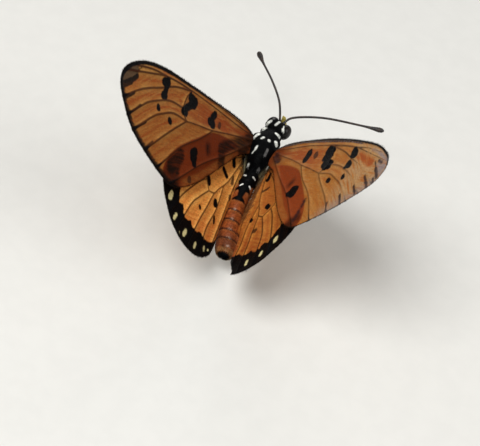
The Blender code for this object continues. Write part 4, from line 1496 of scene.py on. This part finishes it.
@dataclass
class Body:
    """The skin of head, neck, chest and abdomen in one, with its colours and its coat."""

    columns: int = 144
    step: float = 0.062
    ring_bounds: tuple = (-6.1, -7.5, -8.9, -10.3, -11.66, -13.0, -14.05, -15.0)
    stations: tuple = (
        *((*HEAD.place(0, ahead, up), wide, high) for ahead, up, wide, high in (
            (1.06, -0.06, 0.14, 0.18), (0.96, -0.06, 0.4, 0.5), (0.74, -0.04, 0.74, 0.74),
            (0.44, 0, 0.98, 0.96), (0.08, 0.02, 1.14, 1.06), (-0.3, 0.02, 1.26, 1.06),
            (-0.62, 0, 1.2, 0.98), (-0.88, 0, 1, 0.84), (-1.05, 0, 0.9, 0.8))),
        (0.26, 2.5, -1.27, 1.12, 0.94), (0.26, 2.2, -1.25, 1.24, 1.1),
        (0.22, 1.85, -1.22, 1.34, 1.24), (0.17, 1.4, -1.2, 1.5, 1.46),
        (0.08, 0.8, -1.25, 1.7, 1.72), (0, 0, -1.38, 1.84, 1.92), (0, -1, -1.48, 1.87, 2.02),
        (0, -2, -1.5, 1.78, 2.02), (-0.04, -3, -1.46, 1.54, 1.82), (-0.1, -3.8, -1.38, 1.24, 1.46),
        (-0.14, -4.5, -1.33, 0.98, 1.06), (-0.17, -5.2, -1.42, 0.96, 1.03),
        (-0.24, -6.1, -1.6, 1.05, 1.12), (-0.3, -7, -1.8, 1.1, 1.17),
        (-0.36, -8.5, -2.13, 1.13, 1.18), (-0.34, -10, -2.5, 1.2, 1.24),
        (-0.24, -11.5, -2.87, 1.36, 1.34), (-0.02, -12.8, -3.18, 1.46, 1.4),
        (0.3, -14.2, -3.5, 1.45, 1.36), (0.5, -15.05, -3.69, 1.32, 1.2),
        (0.57, -15.38, -3.77, 0.98, 0.96), (0.62, -15.58, -3.82, 0.62, 0.66),
        (0.64, -15.68, -3.84, 0.3, 0.34),
    )

    def centre_line(self) -> Array:
        """Return evenly spaced rings as (right, forward, up, half width, half height)."""
        fine = smooth_path(self.stations, self.step / 4.0)
        swell = np.abs(np.diff(fine[:, 3]))
        return spaced_out(fine, lengths_along(fine[:, :3], 0.35 * swell), self.step)

    def surface(self) -> tuple[Array, Array, Array]:
        """Return each ring point, its outward way and the way its hair lies."""
        rings = self.centre_line()
        way = np.gradient(rings[:, :3], axis=0)
        way /= np.linalg.norm(way, axis=1)[:, None]
        side = np.cross((0.0, 0.0, 1.0), way)
        side /= -np.linalg.norm(side, axis=1)[:, None]
        up = np.cross(side, way)
        up *= np.sign(up[:, 2])[:, None]
        angle = np.linspace(0.0, 2 * math.pi, self.columns, endpoint=False) - math.pi
        across = np.tile(np.sin(angle), (len(rings), 1))
        height = np.tile(np.cos(angle), (len(rings), 1))
        brow = ease((rings[:, 1] - 2.7) / 0.5) * ease((4.9 - rings[:, 1]) / 0.6)
        power = np.where(height > 0.0, 2 + 2 * brow[:, None], 2.0)
        reach = (np.abs(across) ** power + np.abs(height) ** power) ** (-1.0 / power)
        x = (across * reach)[:, :, None] * side[:, None, :]
        y = (height * reach)[:, :, None] * up[:, None, :]
        points = (rings[:, None, :3] + x * rings[:, None, 3:4] + y * rings[:, None, 4:5])
        out = x / rings[:, None, 3:4] + y / rings[:, None, 4:5]
        out /= np.linalg.norm(out, axis=2)[:, :, None]
        lie = np.repeat(way[:, None, :], self.columns, axis=1)
        return points.reshape(-1, 3), out.reshape(-1, 3), lie.reshape(-1, 3)

    def relief(self, points: Array, out: Array) -> Array:
        """Return how far each point of the skin stands out or in, in millimetres."""
        right, forward = points.T[:2]
        top = ease(out[:, 2])
        rise = np.zeros(len(points))
        for spot, reach, height in (
                ((1.45, 0.85, -0.35), 0.9, 0.34), ((-1.4, 0.95, -0.35), 0.9, 0.4),
                ((1.15, 2.3, -0.85), 0.75, 0.26), ((-0.75, 2.45, -0.7), 0.85, 0.46),
                ((-0.7, 3.5, -0.75), 0.8, 0.3), ((-0.1, 4.25, -0.7), 0.75, 0.36),
                ((-0.04, -3.05, 0.32), 0.95, 0.12), ((0.4, -0.3, 0.55), 1.2, 0.05),
                ((-0.5, -0.3, 0.55), 1.2, 0.05)):
            away = np.linalg.norm(points - spot, axis=1)
            rise += height * ease(1 - away / reach)
        groove = ease(1 - np.abs(right) / 0.12) * ease((1.6 - forward) / 0.6)
        rise -= 0.05 * groove * ease((forward + 2.4) / 0.6) * top
        suture = ease(1 - np.abs(forward + 2.45 + 0.15 * right ** 2) / 0.14)
        rise -= 0.09 * suture * top
        return rise + self.ring_relief(forward)

    def ring_relief(self, forward: Array) -> Array:
        """Return the steps between the abdomen's rings."""
        phase = self.ring_phase(forward)
        on_abdomen = ease((-4.9 - forward) / 0.6)
        swell = 0.07 * ease(phase / 0.75) - 0.07 * ease((phase - 0.9) / 0.1)
        return (swell - 0.03) * on_abdomen

    def ring_phase(self, forward: Array) -> Array:
        """Return how far through its ring each point lies, from front to back."""
        bounds = (-4.6, *self.ring_bounds, -16.2)
        phase = np.zeros(len(forward))
        for front, back in zip(bounds[:-1], bounds[1:]):
            within = (forward <= front) & (forward > back)
            phase = np.where(within, (front - forward) / (front - back), phase)
        return phase

    def colours(self, points: Array, out: Array) -> Array:
        """Return the colour of the coat at each point of the skin."""
        random = np.random.default_rng(7)
        mottle = random.random(len(points))
        colour = np.tile(np.array(BLACK[:3]), (len(points), 1))
        colour = self.paint(colour, self.olive_share(points, out, mottle), OLIVE)
        colour = self.paint(colour, 0.65 * self.olive_share(points, out, mottle ** 3), CREAM)
        colour = self.paint_abdomen(points, out, colour, mottle)
        colour = self.paint_white(points, colour)
        return np.column_stack((colour, np.ones(len(points))))

    def paint(self, colour: Array, share: Array, paint: tuple) -> Array:
        """Lay a colour over others."""
        share = np.clip(share, 0, 1)[:, None]
        return colour * (1 - share) + np.array(paint[:3]) * share

    def olive_share(self, points: Array, out: Array, mottle: Array) -> Array:
        """Return where olive hair stands among the black of the chest."""
        forward = points[:, 1]
        low = ease((0.55 - out[:, 2]) / 0.5)
        rear = ease((-1.2 - forward) / 2.6)
        chest = ease((forward + 6.4) / 0.8) * ease((2.1 - forward) / 0.6)
        share = (0.2 * low + 0.9 * rear * low) * chest
        return share * (0.35 + 0.9 * mottle)

    def paint_abdomen(self, points: Array, out: Array, colour: Array, mottle: Array) -> Array:
        """Paint the rings: a black saddle in front, rusty rings behind, a pale belly and painted
        shade on the flanks.
        """
        forward = points[:, 1]
        angle = np.degrees(np.arccos(np.clip(out[:, 2], -1, 1)))
        start = ease((-4.5 - forward) / 0.9)
        phase = self.ring_phase(forward)
        low = ease((angle - 84) / 26)
        # Darker brown in patches towards the tip.
        darker_to_tip = ease((-12.6 - forward) / 2) * (0.25 + 0.75 * mottle)
        last = ease((-14.85 - forward - 0.25 * mottle) / 0.25)
        rear = start * ease((-8.2 - forward) / 0.8)
        flank = np.clip((58 - np.abs(angle - 30)) / 58, 0, 1)
        edge = ease(1.35 - np.abs(phase - 0.96) / (0.03 + 0.07 * flank))
        edge = edge * ease((forward + 14.6) / 0.3)
        dusty = ease(1 - angle / 26) * ease((phase - 0.1) / 0.5) * mottle
        crest = ease(1.4 - angle / 14) * ease(1.2 - np.abs(phase - 0.88) / 0.1)
        rust = colour
        for share, paint in (
                (start, RUST),
                (0.7 * start * ease((-7.4 - forward) / -2.4 + 0.6), PINK),
                (0.35 * start * ease(1 - phase / 0.35), OCHRE),
                # Painted shade: darker brown on the abdomen's flanks, above the belly.
                (0.75 * start * ease((angle - 62) / 20) * (1 - low), srgb(92, 52, 32)),
                (start * low, BELLY),
                (0.8 * darker_to_tip, srgb(70, 44, 32)),
                (0.75 * last * mottle, srgb(158, 118, 70)),
                (0.95 * edge * rear, JOINT),
                (0.3 * dusty * rear, srgb(150, 130, 122)),
                (0.9 * crest * rear * (mottle > 0.35), srgb(200, 188, 168))):
            rust = self.paint(rust, share, paint)
        limit = np.interp(-forward, (4.4, 5.2, 6.2, 6.7, 7.3, 8, 8.9, 9.3),
                          (110, 100, 84, 54, 38, 30, 22, 6))
        lobes = 26 * ease(1 - np.abs(phase - 0.92) / 0.3)
        band = ease((limit + lobes * (forward < -5) - angle) / 9)
        band = band * ease((forward + 9.35) / 0.25)
        colour = np.where(start[:, None] > 0.0, rust, colour)
        colour = self.paint(colour, band * (start > 0.0), BLACK)
        return self.paint(colour, ease((-15.58 - forward + 0.12 * mottle) / 0.08), BLACK)

    def paint_white(self, points: Array, colour: Array) -> Array:
        """Paint the white dots and streaks of head and chest."""
        white = (
            (-0.8, 3.35, -0.7, -0.65, 3.43, -0.31, 0.16),
            (-0.65, 3.43, -0.31, -0.46, 3.86, -0.3, 0.2),
            (0.33, 3.46, -0.25, 0.6, 4.12, -0.35, 0.16), (1.33, 3.7, -0.32, 1.37, 3.4, -0.31, 0.08),
            (1.38, 3.2, -0.33, 1.42, 3.06, -0.42, 0.17), (1.42, 3.06, -0.42, 1.63, 2.97, -0.7, 0.1),
            (-0.92, 2.2, -0.3, -0.66, 2.36, -0.45, 0.26),
            (-0.65, 3.15, -0.95, -0.6, 3.05, -0.9, 0.12),
            (0.84, 2.04, -0.22, 1.27, 1.88, -0.44, 0.25), (-1.5, 0.42, -0.2, -1.12, 0.9, 0.1, 0.2),
            (-0.52, 0.16, 0.45, -0.42, 0.32, 0.45, 0.2), (0.4, 0.17, 0.46, 0.42, 0.09, 0.46, 0.2),
            (1.22, 0.52, 0.12, 1.42, 0.24, -0.15, 0.2),
            (-0.72, -1.22, 0.4, -0.76, -1.8, 0.35, 0.15),
            (-0.76, -1.8, 0.35, -0.95, -2.3, 0.14, 0.09),
            (-1.67, -2.2, -1.07, -1.7, -2.4, -1.1, 0.13),
            (-0.86, -3.78, -0.33, -0.86, -3.86, -0.33, 0.2),
            (1.35, -3.15, -0.83, 1.44, -2.75, -0.7, 0.1),
            (-1, -5.2, -0.8, -0.65, -5.42, -0.5, 0.11),
            (0.28, -5.32, -0.5, 0.58, -5.4, -0.78, 0.12),
            (-0.84, -6.93, -0.72, -0.6, -6.74, -0.6, 0.1),
            (0.28, -6.69, -0.7, 0.48, -6.86, -0.88, 0.11),
        )
        grey = (
            (-0.24, 4.22, -0.2, -0.16, 4.28, -0.2, 0.14), (0.67, -1.2, 0.4, 0.62, -2.2, 0.3, 0.16),
            (0.58, -3.94, -0.31, 0.6, -3.98, -0.31, 0.22),
        )
        colour = self.paint(colour, ease(patch_depth(points, white) / 0.07 + 0.5), WHITE)
        grey_share = 0.5 * ease(patch_depth(points, grey) / 0.1 + 0.5)
        return self.paint(colour, grey_share, srgb(120, 118, 116))

    def coat_measures(self, points: Array, out: Array) -> dict[str, Array]:
        """Return the length, stand and thickness of the coat at each point of the skin."""
        forward = points[:, 1]
        low = ease((0.5 - out[:, 2]) / 0.7)
        chest = ease((forward + 5.6) / 0.8) * ease((2.4 - forward) / 0.6)
        waist = ease(1 - np.abs(forward + 4.6) / 1.6)
        head = ease((forward - 2.6) / 0.5)
        length = 0.16 + chest * (0.08 + 0.4 * low + 0.4 * waist) + 0.02 * head
        stand = 0.22 + chest * (0.1 + 0.3 * low) + 0.3 * waist
        return {"coat_length": length, "coat_stand": stand}

    def skin(self) -> Mesh:
        """Make the skin with its colours, its coat's measures and its map."""
        points, out, lie = self.surface()
        points = points + out * self.relief(points, out)[:, None]
        rings = len(points) // self.columns
        front = len(points)
        last = front - self.columns
        here = np.arange(last)
        after = here - here % self.columns + (here + 1) % self.columns
        faces = np.column_stack((here, here + self.columns, after + self.columns, after)).tolist()
        ends = np.vstack((points[:self.columns].mean(axis=0) + (0.0, 0.04, 0.0),
                          points[last:].mean(axis=0) - (0.0, 0.04, 0.0)))
        faces += [(front, column, (column + 1) % self.columns) for column in range(self.columns)]
        faces += [(front + 1, last + (column + 1) % self.columns, last + column)
                  for column in range(self.columns)]
        points = np.vstack((points, ends))
        out = np.vstack((out, (0.0, 1.0, 0.0), (0.0, -1.0, 0.0)))
        lie = np.vstack((lie, (0.0, 0.0, -1.0), (0.0, -1.0, 0.0)))
        mesh = make_mesh("body", points, faces)
        add_field(mesh, "coat_colour", self.colours(points, out))
        add_field(mesh, "coat_way", STANCE.direction(lie))
        for name, values in self.coat_measures(points, out).items():
            add_field(mesh, name, values)
        self.add_map(mesh, rings, front)
        return mesh

    def add_map(self, mesh: Mesh, rings: int, front: int) -> None:
        """Unroll the skin: once round it is the map's width, its length the map's height."""
        corners = read(mesh.loops, "vertex_index")
        around = (corners % self.columns) / self.columns
        along = (corners // self.columns) / (rings - 1)
        totals = read(mesh.polygons, "loop_total")
        owner = np.repeat(np.arange(len(totals)), totals)
        highest = np.zeros(len(totals))
        capped = corners >= front
        np.maximum.at(highest, owner, np.where(capped, 0.0, around))
        around = np.where((highest[owner] - around > 0.5) & ~capped, around + 1.0, around)
        widest = np.zeros(len(totals))
        np.maximum.at(widest, owner, np.where(capped, 0.0, around))
        around = np.where(capped, widest[owner] - 0.5 / self.columns, around)
        along = np.where(capped, np.where(corners == front, -0.012, 1.012), along)
        add_bake_map(mesh, np.column_stack((0.01 + around * 0.97, 0.02 + along * 0.95)))
        keep_skin_place(mesh)

    def build(self) -> None:
        """Make the skin and grow its coats."""
        skin = self.skin()
        add_piece("body_skin", skin, CoatFinish("body_skin_scales").material(),
                  ("head", "thorax", "abdomen"))
        coat = Coat(CoatFinish("body_hair", roughness=0.42).material())
        matrix = np.array(STANCE.matrix())
        points = read(skin.vertices, "co", 3, np.float32)
        forward = -((points - matrix[:3, 3]) @ matrix[:3, :3] / MM)[:, 1]
        for name, slot, thick, tuft in (
                ("chest_coat", "cuticle", (forward > -5.2) & (forward < 2.3),
                 Tuft(per_square_mm=160.0, width_mm=0.06, seed=3)),
                ("head_coat", "cuticle", forward > 2.1,
                 Tuft(per_square_mm=260.0, width_mm=0.045, mess=0.2, seed=5)),
                ("abdomen_coat", "abdomen", forward < -4.7,
                 Tuft(per_square_mm=145.0, width_mm=0.095, tip=0.32, depth=0.08, bend=0.12,
                      mess=0.12, seed=8))):
            coat.grow(skin, name, slot, tuft, thick=thick.astype(float))


@dataclass
class Eye:
    """One compound eye, domed and faceted all over."""

    side: Side
    radii: tuple = (0.78, 1.0, 1.02)
    centre: tuple = (0.96, 0.27, -0.05)
    lens_mm: float = 0.007
    rounds: int = 6

    def dome(self) -> tuple[Array, Array, Array]:
        """Return a ball's points, triangles and which points are the middle of a lens."""
        lit_hindwing = (1 + math.sqrt(5.0)) / 2.0
        points = []
        for first in (-1.0, 1.0):
            for second in (-lit_hindwing, lit_hindwing):
                points += [(0.0, first, second), (first, second, 0.0), (second, 0.0, first)]
        points = np.array(points)
        faces = np.array(self.near_triples(points))
        points /= np.linalg.norm(points[0])
        for _ in range(self.rounds):
            middles = len(points)
            points, faces = self.split(points, faces)
        return points, faces, (np.arange(len(points)) < middles).astype(float)

    def near_triples(self, points: Array) -> list:
        """Return the ball's twenty first triangles, facing outwards."""
        away = np.linalg.norm(points[:, None] - points[None], axis=2)
        side = 2.0
        near = (away > 0) & (away < 1.05 * side)
        return [(a, b, c) if np.linalg.det(points[[a, b, c]]) > 0.0 else (a, c, b)
                for a, b, c in itertools.combinations(range(len(points)), 3)
                if near[a, b] and near[b, c] and near[a, c]]

    def split(self, points: Array, faces: Array) -> tuple[Array, Array]:
        """Split every triangle into four and round the result."""
        edges = np.sort(np.vstack((faces[:, [0, 1]], faces[:, [1, 2]], faces[:, [2, 0]])), axis=1)
        unique, where = np.unique(edges, axis=0, return_inverse=True)
        middle = points[unique].mean(axis=1)
        middle /= np.linalg.norm(middle, axis=1)[:, None]
        ab, bc, ca = where.reshape(3, -1) + len(points)
        a, b, c = faces.T
        faces = np.vstack([np.column_stack(part) for part in
                           ((a, ab, ca), (ab, b, bc), (ca, bc, c), (ab, bc, ca))])
        return np.vstack((points, middle)), faces

    def build(self) -> None:
        """Make the eye and dress it."""
        ball, faces, lens = self.dome()
        sign = self.side.value
        raised = ball * (1 + self.lens_mm * (lens - 0.4))[:, None] * self.radii
        points = HEAD.place(*(raised + self.centre * np.array((sign, 1, 1))).T).T
        mesh = make_mesh("eye", points, faces.tolist())
        add_field(mesh, "lens", lens)
        on_outer = np.repeat(ball[faces].mean(axis=1)[:, 0] * sign > 0.0, 3)
        spread = ball[read(mesh.loops, "vertex_index")][:, 1:] * (0.23, 0.47)
        add_bake_map(mesh, spread + np.where(on_outer[:, None], (0.25, 0.5), (0.75, 0.5)))
        name = f"eye_{self.side.word}"
        add_piece(name, mesh, EyeFinish().material(), (name,))


@dataclass
class Antenna:
    """One feeler: a thin jointed shaft with a long club at its end."""

    side: Side
    shaft: float = 0.15
    groove: float = 0.12
    points_per_joint: int = 6

    @property
    def route(self) -> tuple:
        """Return the points that the feeler passes through."""
        if self.side is Side.LEFT:
            return ((0.6, 4.1, -0.85), (0.6, 4.4, -0.7), (-0.5, 7.7, -0.92), (-2.47, 11.2, -1.68),
                    (-4.65, 14.35, -2.49), (-5.85, 16.2, -2.91))
        return ((0.98, 4.2, -0.9), (1.05, 4.3, -0.8), (1.99, 5.44, -0.3), (5.47, 7.0, -0.3),
                (9.81, 8.19, -0.8), (13.2, 9.0, -1.27))

    def build(self, tubes: Tubes) -> None:
        """Make the feeler and dress it."""
        club = 0.38 if self.side is Side.LEFT else 0.34
        path = even_path(self.route, 0.055)
        shares = (0.0, 0.012, 0.02, 0.035, 0.05, 0.8, 0.86, 0.91, 0.95, 0.98, 0.995, 1.0)
        shaft = self.shaft
        girths = (0.24, 0.27, 0.25, 0.19, shaft, shaft * 0.95, shaft * 1.25, club * 0.78, club,
                  club * 0.86, club * 0.5, club * 0.16)
        girth = girth_along(path, shares, girths)
        joints = np.arange(len(path)) % self.points_per_joint == 0
        girth = girth * (1 - self.groove * joints)
        tubes.grow(f"antenna_{self.side.word}", "horn", [(path, girth)], 14)


@dataclass
class Palp:
    """One scaly mouth palp, curved up before the face."""

    side: Side

    def build(self, tubes: Tubes) -> None:
        """Make the palp and dress it."""
        sign = self.side.value
        route = [HEAD.place(out * sign - lean, ahead, up) for out, lean, ahead, up in
                 ((0.28, 0.0, 0.55, -0.55), (0.34, 0.02, 1.05, -0.75), (0.26, 0.1, 1.46, -0.45),
                  (0.15, 0.2, 1.7, 0.05), (0.11, 0.27, 1.74, 0.5), (0.1, 0.3, 1.7, 0.76))]
        path = even_path(route, 0.06)
        girth = girth_along(path, (0, 0.12, 0.3, 0.52, 0.6, 0.75, 0.9, 1),
                            (0.16, 0.22, 0.27, 0.25, 0.2, 0.18, 0.15, 0.05))
        tubes.grow(f"palp_{self.side.word}", "palp", [(path, girth)], 16)


@dataclass
class Proboscis:
    """The coiled tongue."""

    turns: float = 1.35
    stops: int = 17
    ribbing: float = 0.08
    start_deg: float = 160.0
    middle: tuple = (1.62, -2.1)
    wide: float = 0.95
    narrow: float = 0.33

    def build(self, tubes: Tubes) -> None:
        """Make the tongue and dress it."""
        coil = []
        for share in np.linspace(0.0, 1.0, self.stops).tolist():
            angle = math.radians(self.start_deg - share * self.turns * 360.0)
            radius = self.wide + (self.narrow - self.wide) * share
            coil.append(HEAD.place(0, self.middle[0] + radius * math.cos(angle),
                                   self.middle[1] + radius * math.sin(angle)))
        route = [HEAD.place(0, 0.75, -0.7), HEAD.place(0, 0.78, -1.3), *coil]
        path = even_path(route, 0.05)
        girth = girth_along(path, (0, 0.1, 0.95, 1), (0.17, 0.16, 0.1, 0.05))
        girth = girth * (1 - self.ribbing * (np.arange(len(path)) % 3 == 0))
        tubes.grow("proboscis", "horn", [(path, girth)])


class Pair(Enum):
    """The walking legs, as (out, back, height) of hip, knee, ankle and toe over the floor."""

    MID = ((0.7, -0.1, 6.1), (4.6, -2.1, 4.6), (6.3, -3.0, 0.55), (8.6, -5.3, 0.2))
    HIND = ((0.6, 1.9, 5.9), (2.9, 6.5, 4.5), (3.6, 9.1, 0.55), (3.1, 13.1, 0.2))


@dataclass
class WalkingLeg:
    """One walking leg, with thigh, shin, five foot joints and two claws."""

    pair: Pair
    side: Side
    heel_height: float = 0.24
    pinch: float = 0.35
    pinch_width: float = 0.035
    joints: tuple = (0.38, 0.56, 0.72, 0.86)

    def build(self, tubes: Tubes, coat: Coat) -> None:
        """Make the leg, its claws and its bristles."""
        hip, knee, ankle, toe = (np.array(spot) for spot in self.pair.value)
        heel = ankle * 0.88 + toe * 0.12
        heel[2] = self.heel_height
        thigh = self.route(0.12, hip, hip * 0.5 + knee * 0.5 + (0, 0, 0.12), knee)
        shin = self.route(0.12, knee, ankle * 0.6 + knee * 0.4 + (0.1, 0, 0), ankle)
        foot = self.route(0.1, ankle, heel, toe + (0, 0, 0.02))
        thick = girth_along(thigh, (0, 0.08, 0.14, 0.4, 0.8, 0.97, 1),
                            (0.3, 0.34, 0.25, 0.33, 0.27, 0.24, 0.14))
        slim = girth_along(shin, (0, 0.03, 0.12, 0.6, 0.96, 1),
                           (0.12, 0.2, 0.17, 0.2, 0.22, 0.14))
        thin = girth_along(foot, (0, 0.04, 0.9, 1), (0.12, 0.2, 0.17, 0.12))
        share = np.linspace(0.0, 1.0, len(foot))
        joints = np.min(np.abs(share[:, None] - self.joints), axis=1)
        thin = thin * (1 - self.pinch * ease(1 - joints / self.pinch_width))
        paths = [(thigh, thick), (shin, slim), (foot, thin)]
        ahead = toe - heel
        ahead = ahead / np.linalg.norm(ahead)
        across = np.array((-ahead[1], ahead[0], 0.0))
        for sign in (-1.0, 1.0):
            claw = self.route(0.05, toe + across * 0.06 * sign,
                              toe + ahead * 0.14 + across * 0.14 * sign + (0, 0, 0.05),
                              toe + ahead * 0.24 + across * 0.19 * sign + (0, 0, -0.1))
            paths.append((claw, girth_along(claw, (0, 1), (0.055, 0.012))))
        name = f"{self.pair.name.lower()}leg_{self.side.word}"
        mesh = tubes.grow(name, "leg", paths)
        height = read(mesh.vertices, "co", 3, np.float32)[:, 2] / MM
        count = len(height)
        coat.grow(mesh, f"{name}_bristles", "leg",
                  Tuft(per_square_mm=26.0, width_mm=0.03, bend=0.05, mess=0.2, seed=4),
                  thick=ease((height - 0.3) / 0.1), length=np.full(count, 0.26),
                  stand=np.full(count, 0.6), colour=np.tile(BLACK, (count, 1)))

    def route(self, step: float, *spots: Array) -> Array:
        """Return an even path through points over the floor, in body measurements."""
        return even_path([STANCE.over_floor(self.side, *spot.tolist()) for spot in spots], step)


@dataclass
class Foreleg:
    """One small front leg, folded against the chest."""

    side: Side

    def build(self, tubes: Tubes) -> None:
        """Make the leg and dress it."""
        sign = self.side.value
        path = even_path([(sign * 0.6 + 0.1, 0.9, -2.2), (sign * 0.85 + 0.15, 1.5, -3.2),
                          (sign + 0.15, 2.1, -4.0), (sign * 0.9 + 0.12, 1.7, -4.5),
                          (sign * 0.75 + 0.1, 0.7, -4.6)], 0.08)
        girth = girth_along(path, (0, 0.1, 0.4, 0.52, 0.6, 0.9, 1),
                            (0.3, 0.34, 0.3, 0.2, 0.24, 0.17, 0.05))
        tubes.grow(f"foreleg_{self.side.word}", "leg", [(path, girth)])


def main() -> None:
    """Build and dress every piece in order."""
    logging.basicConfig(level=logging.INFO, format="%(name)s: %(message)s")
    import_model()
    Studio().build()
    tawny = WingFinish("left_forewing_scales", ground=srgb(144, 86, 38), pale=srgb(162, 116, 60),
                       rich=srgb(134, 62, 26), shaded=srgb(100, 36, 12), dusk=srgb(17, 11, 7),
                       smoke=srgb(70, 58, 44))
    # The right forewing carries a painted sheen on its tip and edge.
    sheened = WingFinish("right_forewing_scales", sheen_amount=0.8, ground=srgb(162, 102, 44),
                        rich=srgb(150, 74, 30), pale=srgb(172, 126, 72), shaded=srgb(128, 52, 22),
                        dusk=srgb(40, 24, 26), sheen=srgb(128, 120, 122), sheen_pale=srgb(166, 132, 92),
                        lining=0.6)
    # The left hindwing's colours are the right one's painted lighter: painted light on that wing.
    lit_hindwing = WingFinish("left_hindwing_scales", flecks=0.6, ground=srgb(232, 156, 74),
                        rich=srgb(206, 114, 52), pale=srgb(240, 178, 94))
    amber = WingFinish("right_hindwing_scales", flecks=0.4, ground=srgb(164, 94, 39),
                       rich=srgb(136, 62, 26), pale=srgb(186, 124, 54))
    hair = Coat(CoatFinish("wing_hair", roughness=0.5).material())
    for side, fore_finish, hind_finish in ((Side.LEFT, tawny, lit_hindwing), (Side.RIGHT, sheened, amber)):
        forewing = Forewing(side)
        piece = forewing.build(f"forewing_{side.word}", "forewing", fore_finish)
        forewing.grow_fringe(piece, hair, "forewing")
        hindwing = Hindwing(side)
        piece = hindwing.build(f"hindwing_{side.word}", "hindwing", hind_finish)
        hindwing.grow_fringe(piece, hair, "hindwing")
        hindwing.grow_hair(piece, hair)
    Body().build()
    horn = Tubes(HornFinish("feeler_horn").material())
    ochre = Tubes(HornFinish("palp_scales", dark=srgb(172, 152, 64), light=srgb(194, 182, 106),
                             roughness=0.5).material())
    leg_horn = Tubes(HornFinish("leg_horn", light=srgb(84, 62, 40)).material())
    bristles = Coat(CoatFinish("leg_bristles", roughness=0.35).material())
    Proboscis().build(horn)
    for side in Side:
        Eye(side).build()
        Antenna(side).build(horn)
        Palp(side).build(ochre)
        Foreleg(side).build(leg_horn)
        for pair in Pair:
            WalkingLeg(pair, side).build(leg_horn, bristles)


if __name__ == "__main__":
    main()
